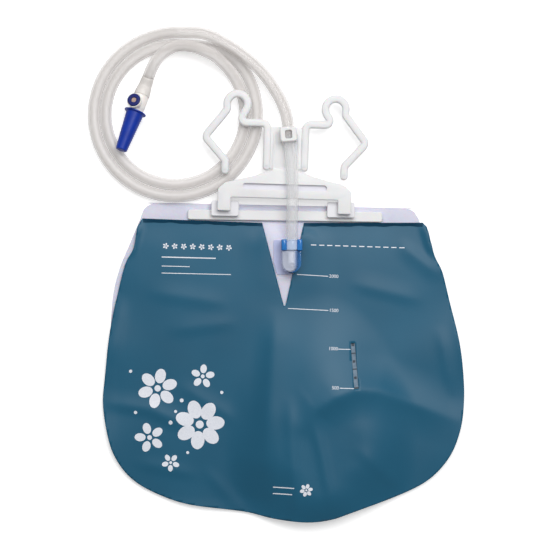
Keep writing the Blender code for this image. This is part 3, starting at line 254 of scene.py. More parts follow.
# Matt white paper: pale all over, with no gloss to mirror the lamps
white_paper, paper_shader = start_material("white_paper", 0.9)
paper_shader.inputs["Base Color"].default_value = linear("f2f2f2")
rays = add_node(white_paper, "ShaderNodeLightPath", {})
seen_rays = add_node(
    white_paper, "ShaderNodeMath", {"operation": "MAXIMUM"},
    {0: rays.outputs["Is Camera Ray"], 1: rays.outputs["Is Transmission Ray"]},
)
glow = add_node(
    white_paper, "ShaderNodeMath", {"operation": "MULTIPLY", 1: FLOOR_GLOW}, {0: seen_rays.outputs[0]}
)
white_paper.node_tree.links.new(glow.outputs[0], paper_shader.inputs["Emission Strength"])
paper_shader.inputs["Emission Color"].default_value = (1.0, 1.0, 1.0, 1.0)
floor_mesh.materials.append(white_paper)


# %% [markdown]
# ## Finishing a mesh
# Every piece is a bmesh that becomes an object at the origin, with its place in its mesh. It rides on
# the bag, the cap or the slide, takes a material, and may hide the plain solid that it stands for.


# %% From bmesh to piece
def put(name, bm, material, replaces=(), body="bag", smooth=35):
    mesh = new_mesh(name, bm)
    mesh.shade_smooth()
    mesh.set_sharp_from_angle(angle=math.radians(smooth))
    mesh.materials.append(material)
    piece = new_object(name, mesh)
    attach(piece, body)
    if replaces:
        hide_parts(*replaces)
    print(name, len(mesh.polygons), "faces")
    return piece


# %% [markdown]
# ## Drainage tube
# The tube is extruded from soft PVC: 10 mm outside with a 1.5 mm wall, milky and clear, with faint
# streaks painted along it as highlights. Its coil could be a helix, but the two turns lie side by side
# on the floor, so one line is drawn through them: up over the hanger, twice round, and in to the connector.

# %% Extruded soft PVC
TUBE_DIAMETER = mm(10)
TUBE_WALL = mm(1.5)
# Round the tube, the streaks lie this far apart. The wave node has 20 waves to 2 pi at a scale of 1, and
# the map's Y goes round the tube once.
STREAK_GAP = mm(7.31)
# The die leaves soft PVC clear and glossy. Its streaks of a slightly warmer and a whiter tone are painted
# highlights
clear_tube, tube_shader = start_material("extruded_clear_pvc", 0.2, IOR=1.45)
tube_map = add_node(clear_tube, "ShaderNodeTexCoord", {}).outputs["UV"]
streak_scale = math.tau / 20 * math.pi * TUBE_DIAMETER / STREAK_GAP
streaks = add_node(
    clear_tube, "ShaderNodeTexWave", {"Scale": streak_scale, "Distortion": 0.0, "bands_direction": "Y"},
    {"Vector": tube_map},
)
# Painted highlights: lighter and warmer streaks round the tube stand in for its glints
highlight_streak_tint = add_node(
    clear_tube, "ShaderNodeMix", {"data_type": "RGBA", 6: linear("e4dfdc"), 7: linear("fefaf8")},
    {0: streaks.outputs["Fac"]},
)

# %% The tube's line
COIL_CENTRE = Vector((-0.0915, 0.1613))
OUTER_TURN = mm(69.3)
INNER_TURN = mm(59.1)
ON_FLOOR = TUBE_DIAMETER / 2
ON_COIL = mm(15.4)
# Degrees round the coil: its points, and where the tube lands on the floor, moves to the inner turn and
# climbs off again
COIL_DEGREES = range(84, 782, 12)
LANDING = (72, 112)
MOVE_INWARD = (398, 446)
CLIMB = (738, 786)
RUN_ROUTE = (
    (0.0070, 0.0490, 0.0136), (0.0070, 0.0600, 0.0140), (0.0072, 0.0720, 0.0170),
    (0.0074, 0.0840, 0.0208), (0.0075, 0.0950, 0.0221), (0.0072, 0.1080, 0.0221),
    (0.0062, 0.1220, 0.0214), (0.0049, 0.1336, 0.0203), (0.0042, 0.1436, 0.0202),
    (0.0035, 0.1536, 0.0202), (0.0004, 0.1660, 0.0188), (-0.0065, 0.1800, 0.0168),
    (-0.0175, 0.1955, 0.0157), (-0.0325, 0.2095, 0.0154), (-0.0495, 0.2208, 0.0154),
    (-0.0660, 0.2285, 0.0154),
)
TAIL_ROUTE = (
    (-0.0870, 0.2190, 0.0154), (-0.0982, 0.2150, 0.0154), (-0.1060, 0.2082, 0.0150),
    (-0.1109, 0.2006, 0.0120), (-0.1145, 0.1929, 0.0074), (-0.1171, 0.1861, 0.0053),
    (-0.1197, 0.1790, 0.00665),
)


def blend(value, start, end):
    """0 before start, 1 after end, and a smooth rise between."""
    share = min(1.0, max(0.0, (value - start) / (end - start)))
    return share * share * (3 - 2 * share)


def coil_points():
    """The two turns, from where the run comes down on them to where the tail climbs off."""
    points = []
    for degrees in COIL_DEGREES:
        radius = OUTER_TURN + (INNER_TURN - OUTER_TURN) * blend(degrees, *MOVE_INWARD)
        down = (ON_COIL - ON_FLOOR) * (1 - blend(degrees, *LANDING))
        up = (ON_COIL - ON_FLOOR) * blend(degrees, *CLIMB)
        turn = math.radians(degrees)
        x, y = COIL_CENTRE + radius * Vector((math.cos(turn), math.sin(turn)))
        points.append((x, y, ON_FLOOR + down + up))
    return points


TUBE_POINTS = [*RUN_ROUTE, *coil_points(), *TAIL_ROUTE]

# %% [markdown]
# Clear PVC is seen through best at the middle of the tube. At its edges a look passes through more of the
# wall, and it turns milky. The straight stretch below the clip is clearer than the coil, which is hazed
# by bending. Where it bridges from the clip to the coil, clear of the floor, painted shade makes it
# greyest. Along the tube, the map's X runs from 0 at the collar to 1 at the connector.

# %% How clear the tube is
# Points of the tube's line, by number: at the clip, and where it has come down on the coil
CLIP_POINTS = (7.6, 8.6)
LAID_POINTS = (15.0, 20.0)
RUN_HAZE = 0.14
COIL_HAZE = 0.32
EDGE_HAZE = 0.55
BRIDGE_PAINTED_SHADES = ("ffffff", "eeedec", "eeedec", "ffffff")
along_tube = add_node(clear_tube, "ShaderNodeSeparateXYZ", {}, {"Vector": tube_map}).outputs["X"]
past_clip = add_node(
    clear_tube, "ShaderNodeMapRange",
    {"From Min": CLIP_POINTS[0] / len(TUBE_POINTS), "From Max": CLIP_POINTS[1] / len(TUBE_POINTS)},
    {"Value": along_tube},
).outputs["Result"]
# Painted shade: the tint is multiplied greyer on the stretch from the clip to the coil
bridge_painted_shade = add_node(clear_tube, "ShaderNodeValToRGB", {}, {"Fac": along_tube})
bridge_painted_shade.color_ramp.elements[0].color = linear("ffffff")
for point, code in zip((*CLIP_POINTS, *LAID_POINTS), BRIDGE_PAINTED_SHADES):
    bridge_painted_shade.color_ramp.elements.new(point / len(TUBE_POINTS)).color = linear(code)
streaks_with_painted_shade = add_node(
    clear_tube, "ShaderNodeMix", {"data_type": "RGBA", "blend_type": "MULTIPLY", 0: 1.0},
    {6: highlight_streak_tint.outputs[2], 7: bridge_painted_shade.outputs["Color"]},
)
tube_tint = add_node(
    clear_tube, "ShaderNodeMix", {"data_type": "RGBA", 6: linear("fdfdfe")},
    {0: past_clip, 7: streaks_with_painted_shade.outputs[2]},
)
middle_haze = add_node(clear_tube, "ShaderNodeMix", {2: RUN_HAZE, 3: COIL_HAZE}, {0: past_clip})
tube_edge = add_node(clear_tube, "ShaderNodeLayerWeight", {"Blend": 0.4})
tube_haze = add_node(
    clear_tube, "ShaderNodeMix", {3: EDGE_HAZE},
    {0: tube_edge.outputs["Facing"], 2: middle_haze.outputs[0]},
)
clear_tube.node_tree.links.new(tube_tint.outputs[2], tube_shader.inputs["Base Color"])
clear_tube.node_tree.links.new(tube_haze.outputs[0], tube_shader.inputs["Alpha"])


# %% The tube
def draw_tube(name, points, depth, wall, material, around, along):
    """A soft tube: each point has a place and a share of the radius, and its wall lies inside that."""
    curve = bpy.data.curves.new(name, "CURVE")
    curve.dimensions = "3D"
    curve.bevel_depth = depth
    curve.bevel_resolution = around
    curve.resolution_u = along
    spline = curve.splines.new("BEZIER")
    spline.bezier_points.add(len(points) - 1)
    for target, (place, share) in zip(spline.bezier_points, points):
        target.co = place
        target.radius = share
        target.handle_left_type = "AUTO"
        target.handle_right_type = "AUTO"
    curve.materials.append(material)
    piece = new_object(name, curve)
    hollow = piece.modifiers.new("wall", "SOLIDIFY")
    hollow.thickness = wall
    hollow.offset = -1.0
    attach(piece, "bag")
    return piece


whole_tube = [(point, 1.0) for point in TUBE_POINTS]
tube = draw_tube("drainage_tube", whole_tube, TUBE_DIAMETER / 2, TUBE_WALL, clear_tube, around=7, along=6)
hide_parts("drainage_tube_run", "drainage_tube_coil", "drainage_tube_tail")

# %% [markdown]
# The tube's end is flared over the connector's barb, where the PVC is stretched thin and looks creamy.
# It is a second tube on the same line whose radius, in millimetres, grows from point to point.

# %% The flared end
# Stretching clouds the clear PVC, so it looks creamy and soft, and less is seen through it
stretched_pvc = mottled("stretched_soft_pvc", "efe9e4", "fbf8f5", 3.85, 0.3, IOR=1.45, Alpha=0.7)
TUBE_END = Vector(TAIL_ROUTE[-1])
OUTWARD = (TUBE_END - Vector(TAIL_ROUTE[-2])).normalized()
SLEEVE_WALL = mm(0.7)
flare = (
    (Vector(TAIL_ROUTE[-3]), 5.1), (Vector(TAIL_ROUTE[-2]), 5.6), (TUBE_END - OUTWARD * mm(2), 6.6),
    (TUBE_END + OUTWARD * mm(1.5), 6.8),
)
draw_tube("connector_sleeve", flare, mm(1), SLEEVE_WALL, stretched_pvc, around=9, along=8)

# %% [markdown]
# ## Reservoir bag
# Two sheets of PVC film are welded together round the rim and hold nothing yet, so the bag is nearly
# flat. The front film is a flat outline, cut into small squares and raised by one height function,
# which is simpler than a simulation and keeps the film off its neighbours. Next to the weld the film
# puckers, and under the drip chamber and the outlet it is held flat.

# %% Where the bag's film lies
BAG_WIDTH = 0.296
BAG_LENGTH = 0.259
BAG_FOOT_Y = -0.172
RIM_THICKNESS = mm(1.6)
RIM_BAND = mm(8)
RIM_BAND_TOP = mm(19)
BAG_CROWN = mm(3.6)
CROWN_POWER = 2.5
# The outline from the foot up the left side and down the right one, as shares of width and length
BAG_SHARES = (
    (-0.101, 0.0), (-0.270, 0.023), (-0.382, 0.070), (-0.446, 0.131), (-0.483, 0.212),
    (-0.500, 0.344), (-0.498, 0.510), (-0.490, 0.683), (-0.471, 0.780), (-0.446, 0.851),
    (-0.411, 0.946), (-0.400, 0.979), (-0.375, 0.997), (-0.330, 0.999), (0.310, 0.983),
    (0.350, 0.981), (0.375, 0.970), (0.388, 0.946), (0.409, 0.851), (0.432, 0.780),
    (0.470, 0.645), (0.497, 0.510), (0.500, 0.344), (0.478, 0.212), (0.436, 0.131),
    (0.372, 0.070), (0.270, 0.023), (0.101, 0.0),
)
# Left, right, foot, top and height of the film under the chamber's plate and the outlet's flange
FILM_PADS = ((-0.0100, 0.0177, 0.0244, 0.0550, 0.0049), (0.0172, 0.0488, -0.0998, -0.0682, 0.0048))
PAD_FADE = mm(15)
print("bag is", BAG_WIDTH, "by", BAG_LENGTH, "m")

# %% [markdown]
# Its height adds up three things: a low crown, the flat pads where fittings are welded to it, and the
# small creases and puckers that thin film has.


# %% The film's height
def falling(distance, reach):
    """1 at no distance, falling smoothly to 0 at the reach."""
    return 1 - blend(distance, 0.0, reach)


def outside_pad(x, y, pad):
    """Distance from a place to one of the held rectangles, 0 inside it."""
    left, right, lower, upper = pad[:4]
    return Vector((max(left - x, 0.0, x - right), max(lower - y, 0.0, y - upper))).length


def bag_height(x, y):
    """Height of the bag's front film."""
    foot = BAG_FOOT_Y + RIM_BAND
    top = BAG_FOOT_Y + BAG_LENGTH - RIM_BAND_TOP
    across = min(1.0, abs(x) / (BAG_WIDTH / 2 - RIM_BAND))
    along = min(1.0, abs(y - (foot + top) / 2) / ((top - foot) / 2))
    height = RIM_THICKNESS + BAG_CROWN * (1 - across**CROWN_POWER) * (1 - along**CROWN_POWER)
    for pad in FILM_PADS:
        height += (pad[4] - height) * falling(outside_pad(x, y, pad), PAD_FADE)
    return height


def away_from(point, start, end):
    """The way to a point from the nearest place on the stretch between two others."""
    along = (end - start).dot(point - start) / (end - start).length_squared
    return point - start - (end - start) * min(1.0, max(0.0, along))


# Faint creases across the film: two ends in pixels of the photograph, height and width in millimetres
FILM_CREASES = tuple(
    (seen(*start), seen(*end), mm(rise), mm(width))
    for start, end, rise, width in (
        ((262, 229), (281, 233), 0.45, 2.2), ((264, 238), (280, 236), 0.35, 2.0),
        ((268, 279), (300, 275), 0.5, 2.5), ((273, 286), (294, 283), 0.4, 2.2),
        ((112, 262), (150, 250), 0.4, 4.0), ((160, 212), (398, 214), 0.3, 2.5),
    )
)
PUCKER_HEIGHT = mm(0.22)
PUCKER_WAVES = 140
PUCKERED_Y = (0.055, 0.080)


def film_height(x, y):
    """The film with its creases, and with the puckers below the weld along the rail."""
    point = Vector((x, y))
    height = bag_height(x, y)
    for start, end, rise, width in FILM_CREASES:
        height += rise * falling(away_from(point, start, end).length, width)
    pucker = noise.noise(Vector((x * PUCKER_WAVES, y * PUCKER_WAVES, 0.3)))
    return height + PUCKER_HEIGHT * pucker * blend(y, *PUCKERED_Y)


# %% Flat outlines cut into squares
def grid_cut(bm, step, faces_of):
    """Cuts the chosen faces along both ways of a square grid."""
    for axis in (0, 1):
        places = [vert.co[axis] for vert in bm.verts]
        normal = Vector((1.0, 0.0, 0.0)) if axis == 0 else Vector((0.0, 1.0, 0.0))
        for line in range(math.ceil(min(places) / step), math.floor(max(places) / step) + 1):
            faces = faces_of(bm)
            geometry = {item for face in faces for item in (*face.edges, *face.verts)}
            bmesh.ops.bisect_plane(
                bm, geom=[*faces, *geometry], dist=mm(0.02),
                plane_co=normal * line * step, plane_no=normal,
            )


def face_way(bm, way):
    """Turns all faces up for 1 or down for -1."""
    for face in bm.faces:
        face.normal_update()
        if face.normal.z * way < 0:
            face.normal_flip()


def thicken(bm, front):
    """Makes a plate of the flat face in a mesh, with its front at a height."""
    raised = bmesh.ops.extrude_face_region(bm, geom=list(bm.faces), use_keep_orig=True)["geom"]
    for vert in [item for item in raised if isinstance(item, bmesh.types.BMVert)]:
        vert.co.z = front
    bmesh.ops.recalc_face_normals(bm, faces=bm.faces)


# %% Blown PVC film
# Blown film is thin and milky with a lavender cast, and its soft ripples break up the gloss
bag_film = mottled(
    "blown_pvc_film", "c8c9dc", "e0dfec", 18.2, 0.45, detail=3.0, grain=(3.85, 0.35, 0.4),
    Subsurface_Weight=0.25, Subsurface_Scale=0.002, IOR=1.45,
)

# %% The bag
FILM_SQUARE = mm(3.5)
bm = bmesh.new()
places = [(x * BAG_WIDTH, BAG_FOOT_Y + y * BAG_LENGTH) for x, y in BAG_SHARES]
outline = smooth_through(places, mm(5))
bm.faces.new([bm.verts.new((*point, 0.0)) for point in reversed(outline)])
face_way(bm, -1)
thicken(bm, RIM_THICKNESS)
grid_cut(bm, FILM_SQUARE, lambda mesh: [face for face in mesh.faces if face.normal.z > 0.5])
for vert in bm.verts:
    if vert.co.z > RIM_THICKNESS / 2:
        vert.co.z = film_height(vert.co.x, vert.co.y)
put("reservoir_film", bm, bag_film, ["reservoir_bag"], smooth=70)

# %% [markdown]
# ## Privacy flap
# One sheet of coloured vinyl hangs over the front from a folded hem. It is drawn as its flat cut,
# given an edge band by two insets, cut into 2.5 mm squares and raised over the bag, the outlet and its
# own folds. A cloth simulation would drape it too, but its folds would fall anywhere, and these lie
# where the photograph has them.

# %% Where the flap lies
FLAP_WIDTH = 0.306
FLAP_TOP_Y = 0.0735
FLAP_FOOT_Y = -0.1833
FLAP_LENGTH = FLAP_TOP_Y - FLAP_FOOT_Y
FLAP_THICKNESS = mm(0.8)
FILM_GAP = mm(0.8)
# The outline down the left side from the hem and up the right one, as shares of width and length
FLAP_SHARES = (
    (-0.391, 1.000), (-0.405, 0.971), (-0.415, 0.903), (-0.437, 0.853), (-0.457, 0.764),
    (-0.480, 0.631), (-0.495, 0.479), (-0.500, 0.379), (-0.482, 0.257), (-0.453, 0.184),
    (-0.410, 0.130), (-0.346, 0.088), (-0.261, 0.055), (-0.112, 0.032), (-0.026, 0.010),
    (0.065, 0.000), (0.131, 0.009), (0.189, 0.032), (0.303, 0.079), (0.377, 0.118),
    (0.426, 0.162), (0.466, 0.225), (0.490, 0.303), (0.500, 0.389), (0.499, 0.479),
    (0.487, 0.595), (0.459, 0.734), (0.440, 0.823), (0.418, 0.879), (0.397, 0.971),
    (0.386, 0.986),
)
NOTCH = ((0.0174, 0.0697, 0.0), (0.0010, -0.0036, 0.0009), (-0.0180, 0.0697, 0.0))
# What holds the flap up from inside: the outlet's parts, by the two ends of an axis and a radius
OUTLET_AXIS_Z = mm(11.1)
BARREL_RADIUS = mm(6.2)
LIFTED = OUTLET_AXIS_Z + BARREL_RADIUS + FILM_GAP
SUPPORTS = (
    ((0.033, -0.084), (0.033, -0.1242), mm(5.4)),
    ((0.0088, -0.1242), (0.0572, -0.1242), BARREL_RADIUS),
    ((0.033, -0.1242), (0.033, -0.1504), mm(4.8)),
)
SUPPORT_ROOM = mm(3)
SUPPORT_BLEND = mm(8)
DOME_REACH = mm(50)
NORTH_SLACK = 0.62
BRIDGE_REACH = mm(30)


def flap_place(share):
    return Vector((share[0] * FLAP_WIDTH, FLAP_FOOT_Y + share[1] * FLAP_LENGTH))


print("flap is", FLAP_WIDTH, "by", round(FLAP_LENGTH, 4), "m")

# %% [markdown]
# The photograph shows where the set creases of the sheet lie. Each is written as the corners of its
# line in pixels of the photograph, and as its height and its reach to the left and right of that line
# in millimetres.

# %% The folds
FOLDS = (
    (((304, 426), (316, 408), (332, 397), (355, 388), (378, 390), (412, 403), (456, 420)), 5.0, 30, 25),
    (((314, 422), (322, 455), (331, 503)), 1.5, 7, 6),
    (((290, 400), (292, 450), (297, 517)), 1.7, 12, 9),
    (((276, 313), (273, 350), (270, 402), (266, 462)), 2.6, 40, 16),
    (((104, 402), (150, 409), (186, 425)), 1.5, 13, 8),
    (((136, 462), (196, 474)), 0.8, 10, 7),
    (((150, 292), (225, 303)), 0.9, 14, 10),
    (((170, 330), (236, 322)), 0.8, 12, 9),
    (((352, 283), (420, 300)), 0.9, 14, 9),
    (((400, 244), (440, 276)), 1.3, 8, 12),
    (((140, 222), (131, 255)), 2.2, 4, 7),
    (((423, 223), (433, 256)), 2.2, 7, 4),
    (((356, 446), (400, 487)), 0.9, 12, 9),
    (((206, 470), (240, 508)), 0.7, 9, 8),
    (((122, 300), (112, 360)), 1.2, 9, 7),
    (((440, 330), (452, 392)), 1.1, 9, 8),
    (((180, 385), (236, 420)), 1.0, 12, 12),
)
print(len(FOLDS), "folds")

# %% [markdown]
# The flap's height adds up what lifts it: the bag under it, a dome over the outlet, each fold, a wavy
# edge, and a slow sway over all of it. A fold is a crease along its line, sharp at the line, whose
# flanks flatten out to both sides.

# %% How a fold lifts the flap
CREASE_ROUND = mm(2.2)
# Where along its line a fold rises out of the sheet and sinks back, as shares of that line
FOLD_RISES = (-0.15, 0.30)
FOLD_SINKS = (0.70, 1.15)


def ridge(point, corners, rise, left, right):
    """How much a fold lifts the film: a crease along its line, with flanks that flatten out sideways."""
    best, side, share = math.inf, 1.0, 0.0
    stretches = len(corners) - 1
    for index, (start, end) in enumerate(zip(corners, corners[1:])):
        distance = away_from(point, start, end).length
        if distance < best:
            along = (end - start).dot(point - start) / (end - start).length_squared
            best, side, share = distance, (end - start).cross(point - start), (index + along) / stretches
    ends = blend(share, *FOLD_RISES) * (1 - blend(share, *FOLD_SINKS))
    reach = left if side > 0 else right
    return rise * max(0.0, 1 - (math.hypot(best, CREASE_ROUND) - CREASE_ROUND) / reach) ** 2 * ends


# %% The flap's height
# The wavy edge: its height, how close to the edge it stays, and its waves round the flap. Then the
# height of the sway.
EDGE_RISE = mm(3.5)
EDGE_POWER = 7
EDGE_WAVES = 11
SWAY = mm(0.7)


def from_support(point, start, end, radius):
    """Distance from the outlet under the flap, shrunk northwards, where the film falls off slowly."""
    away = away_from(point, start, end)
    if away.y > 0:
        away.y *= NORTH_SLACK
    return max(0.0, away.length - radius - SUPPORT_ROOM)


FOLD_LINES = tuple(
    ([seen(*corner) for corner in corners], mm(rise), mm(left), mm(right))
    for corners, rise, left, right in FOLDS
)
SUPPORT_LINES = tuple((Vector(start), Vector(end), radius) for start, end, radius in SUPPORTS)


def flap_rest(x, y):
    """The bag's height with the step round the chamber's plate eased out, as thicker vinyl bridges it."""
    low = bag_height(x, y)
    pad = FILM_PADS[0]
    eased = (pad[4] - low) * falling(outside_pad(x, y, pad), BRIDGE_REACH)
    return max(low, low + eased * (1 - blend(y, 0.050, 0.066)))


def flap_height(x, y):
    """Height of the flap's back."""
    point = Vector((x, y))
    height = flap_rest(x, y) + FILM_GAP
    near = sum(math.exp(-from_support(point, *line) / SUPPORT_BLEND) for line in SUPPORT_LINES)
    height += (LIFTED - height) * falling(max(0.0, -SUPPORT_BLEND * math.log(near)), DOME_REACH)
    for fold in FOLD_LINES:
        height += ridge(point, *fold)
    middle_y = FLAP_FOOT_Y + FLAP_LENGTH / 2
    across = abs(x) / (FLAP_WIDTH / 2)
    along = max(0.0, middle_y - y) / (FLAP_LENGTH / 2)
    edge = max(across, along) ** EDGE_POWER * falling(max(0.0, y), FLAP_LENGTH / 4)
    turn = math.atan2(y - middle_y, x)
    height += EDGE_RISE * edge * (1 + math.sin(EDGE_WAVES * turn)) / 2
    calm = blend(FLAP_TOP_Y - y, mm(2), mm(25))
    sway = noise.noise(Vector((x * 16, y * 13, 1.7))) + 0.35 * noise.noise(Vector((x * 40, y * 34, 4.1)))
    return height + SWAY * calm * (0.6 + sway)


# %% Calendered vinyl
# Rolled between hot cylinders, vinyl is an even satin sheet with slow shifts of tone and a fine grain,
# which is drawn coarser than it is, so that it shows
vinyl = mottled(
    "calendered_vinyl", "12516d", "1a5f7d", 71.4, 0.45, grain=(1.11, 0.12, 0.15), IOR=1.41
)

# %% The flap
SLIT_MIDDLE = Vector((0.0598, -0.0512))
SLIT_TURN = math.radians(4.1)
SLIT_HALF = Vector((mm(1.9), mm(19)))
FLAP_SQUARE = mm(2.5)
EDGE_BAND = mm(0.9)
WELD_BEAD = mm(0.45)


def in_slit(point):
    inside = Matrix.Rotation(-SLIT_TURN, 2) @ (point.xy - SLIT_MIDDLE)
    return abs(inside.x) < SLIT_HALF.x and abs(inside.y) < SLIT_HALF.y


def widest(bm):
    return max(bm.faces, key=lambda face: face.calc_area())


bm = bmesh.new()
flap_edge = smooth_through([flap_place(share) for share in FLAP_SHARES], mm(4))
flap_cut = flap_edge + rounded(NOTCH, step=math.radians(20))
bm.faces.new([bm.verts.new((*point, 0.0)) for point in flap_cut])
face_way(bm, 1)
for _ in range(2):
    bmesh.ops.inset_region(bm, faces=[widest(bm)], thickness=EDGE_BAND, use_even_offset=True)
flap_area = sum(face.calc_area() for face in bm.faces)
bands = set(bm.faces) - {widest(bm)}
band_tag = bm.faces.layers.int.new("band")
for face in bands:
    face[band_tag] = 1
grid_cut(bm, FLAP_SQUARE, lambda mesh: [face for face in mesh.faces if face[band_tag] == 0])
for side in ((1, 0), (-1, 0), (0, 1), (0, -1)):
    normal = Matrix.Rotation(SLIT_TURN, 2) @ Vector(side)
    reach = SLIT_HALF.x if side[0] else SLIT_HALF.y
    near = [face for face in bm.faces if (face.calc_center_median().xy - SLIT_MIDDLE).length < mm(24)]
    parts = {item for face in near for item in (*face.edges, *face.verts)}
    bmesh.ops.bisect_plane(
        bm, geom=[*near, *parts], dist=mm(0.02),
        plane_co=(*(SLIT_MIDDLE + normal * reach), 0.0), plane_no=(*normal, 0.0),
    )
window = [face for face in bm.faces if in_slit(face.calc_center_median())]
bmesh.ops.delete(bm, geom=window, context="FACES")
for vert in bm.verts:
    vert.co.z = flap_height(vert.co.x, vert.co.y)
    if not vert.is_boundary and all(face[band_tag] == 1 for face in vert.link_faces):
        vert.co.z += WELD_BEAD
flap = put("privacy_flap_sheet", bm, vinyl, ["privacy_flap"], smooth=80)
thickness = flap.modifiers.new("thickness", "SOLIDIFY")
thickness.thickness = FLAP_THICKNESS
thickness.offset = 1.0
print("flap area", round(flap_area, 4), "m2")

# %% [markdown]
# The flap's top edge is folded over and welded to the bag, once on each side of the cut. The hems are
# drawn darker than the flap, as painted shade in the fold. Each hem is a grid bent to the fold's shape,
# which is highest at its top edge and runs out downwards to the thin line of its weld.

# %% Hems
HEM_DEPTH = mm(3.1)
HEM_ROLL = mm(1.5)
HEM_LIFT = FLAP_THICKNESS + mm(0.08)
# Two layers of the vinyl, welded together, are more matt than one. Their darker colour is painted shade
hem_vinyl_painted_shade = mottled("folded_vinyl_painted_shade", "05324a", "0b4560", 16.7, 0.6, IOR=1.3)


def make_hem(name, start, end, phase):
    bm = bmesh.new()
    bmesh.ops.create_grid(bm, x_segments=70, y_segments=6, size=0.5)
    for vert in bm.verts:
        along, down = vert.co.x + 0.5, 0.5 - vert.co.y
        wave = 1 + 0.09 * math.sin(along * 19 + phase) + 0.07 * math.sin(along * 43 + 2 * phase)
        x, y = start.lerp(end, along) - Vector((0.0, down * HEM_DEPTH * wave))
        thin = min(1.0, along * 12, (1 - along) * 12)
        roll = HEM_ROLL * min(1.0, down * 9) * (1 - down) * thin
        vert.co = (x, y, flap_height(x, y) + HEM_LIFT + roll)
    return put(name, bm, hem_vinyl_painted_shade, smooth=60)


left_corner = flap_place(FLAP_SHARES[0]) + Vector((mm(0.5), 0.0))
flap_hems = [
    make_hem("hem_left", left_corner, Vector(NOTCH[2][:2]), 0.4),
    make_hem("hem_right", Vector(NOTCH[0][:2]), flap_place(FLAP_SHARES[-1]), 1.9),
]

# %% [markdown]
# ## Printing
# White ink is screen printed on the flap: a scale in millilitres beside the window, and a plain pattern
# of round blossoms, dots and lines. Each mark is a flat face, cut along the same squares as the flap
# and laid on it, so it follows every fold.

# %% White ink
# Screen printed ink lies thick and matt, and covers a little unevenly
white_ink = mottled("screen_printed_ink", "d6dbe6", "f0f2f8", 1.11, 0.5, detail=1.0)


# %% Marks on the flap
def laid(middle, turn, length, width):
    """A matrix that sizes a mark, turns it and puts it in its place."""
    size = Matrix.Diagonal((length, width, 1.0, 1.0))
    return Matrix.Translation((*middle, 0.0)) @ Matrix.Rotation(turn, 4, "Z") @ size


def add_line(bm, start, end, width):
    """A straight mark between two places."""
    turn = math.atan2(end.y - start.y, end.x - start.x)
    placed = laid((start + end) / 2, turn, (end - start).length, width)
    bmesh.ops.create_grid(bm, x_segments=1, y_segments=1, size=0.5, matrix=placed)


def add_dot(bm, centre, radius, stretch=1.0, turn=0.0):
    """A round or, stretched along its turn, an oval mark."""
    placed = laid(centre, turn, radius * stretch, radius)
    bmesh.ops.create_circle(bm, cap_ends=True, segments=20, radius=1.0, matrix=placed)


def add_blossom(bm, centre, radius, petals=6, turn=0.0):
    """Round petals about a dot."""
    for petal in range(petals):
        angle = turn + math.tau * petal / petals
        outward = Vector((math.cos(angle), math.sin(angle)))
        add_dot(bm, centre + outward * radius * 0.63, radius * 0.27, 1.36, angle)
    add_dot(bm, centre, radius * 0.16)


def add_number(bm, number, middle, size):
    """Numerals, made a flat mesh from Blender's own font."""
    letters = bpy.data.curves.new("numerals", "FONT")
    letters.body = number
    letters.size = size
    letters.align_x = "CENTER"
    letters.align_y = "CENTER"
    holder = bpy.data.objects.new("numerals", letters)
    flat = bpy.data.meshes.new_from_object(holder)
    flat.transform(Matrix.Translation((*middle, 0.0)) @ Matrix.Rotation(-0.04, 4, "Z"))
    bm.from_mesh(flat)
    bpy.data.objects.remove(holder)
    bpy.data.meshes.remove(flat)


def lay_on_flap(name, bm, material, lift):
    """Cuts the marks along the flap's squares and lays them on it."""
    bmesh.ops.remove_doubles(bm, verts=bm.verts, dist=mm(0.01))
    grid_cut(bm, FLAP_SQUARE, lambda mesh: list(mesh.faces))
    face_way(bm, 1)
    for vert in bm.verts:
        vert.co.z = flap_height(vert.co.x, vert.co.y) + lift
    return put(name, bm, material)


# %% Scale
INK_LIFT = FLAP_THICKNESS + mm(0.13)
bm = bmesh.new()
for number, column, row, start, end in (
    ("2000", 333.6, 276.4, (297, 274.4), (328, 276.3)),
    ("1500", 333.6, 310.4, (288, 308.3), (328, 310.3)),
    ("1000", 332.8, 348.2, (338, 348.6), (350, 348.9)),
    ("500", 334.6, 386.6, (339, 386.8), (353, 387.2)),
):
    add_line(bm, seen(*start), seen(*end), mm(0.55))
    add_number(bm, number, seen(column, row), mm(4.0))
scale_print = lay_on_flap("printed_scale", bm, white_ink, INK_LIFT)

# %% Pattern
bm = bmesh.new()
for column, row, radius, petals, turn in (
    (158, 388, 20, 6, 0.3), (200, 424, 25, 7, 0.1), (150, 437, 15, 5, 0.6),
    (203, 376, 12, 5, 0.2), (171, 462, 9, 5, 0.9), (306, 488, 6.5, 6, 0.2),
):
    add_blossom(bm, seen(column, row), PIXEL * radius, petals, turn)
for column, row, radius in (
    (182, 400, 2.0), (176, 411, 1.5), (171, 422, 2.0), (222, 392, 1.6),
    (136, 412, 1.7), (131, 371, 1.6), (188, 452, 1.5),
):
    add_dot(bm, seen(column, row), PIXEL * radius)
for index in range(8):
    add_blossom(bm, seen(166 + index * 9.0, 246 + index * 0.25), mm(2.6), 5, index * 0.5)
for start, end, width in (
    ((162, 257), (216, 258.4), 0.9), ((162, 266), (190, 266.7), 0.6), ((162, 273), (231, 274.6), 0.6),
):
    add_line(bm, seen(*start), seen(*end), mm(width))
for index in range(12):
    start = seen(311 + index * 8, 245.0 + index * 0.25)
    add_line(bm, start, start + Vector((mm(4.4), -mm(0.1))), mm(0.8))
for start, end in (((273, 485.5), (294, 486.2)), ((273, 492), (292, 492.6))):
    add_line(bm, seen(*start), seen(*end), mm(0.9))
pattern_print = lay_on_flap("printed_pattern", bm, white_ink, INK_LIFT)

# %% [markdown]
# The slit is a window on the level in the bag. A strip of clear film closes it from behind, with dark
# marks printed on it.

# %% Window film
# The strip is clear, but the dim space behind it makes it look grey blue and dull
window_film = mottled("clear_window_film", "586d7f", "8698a8", 3.33, 0.6, IOR=1.3)
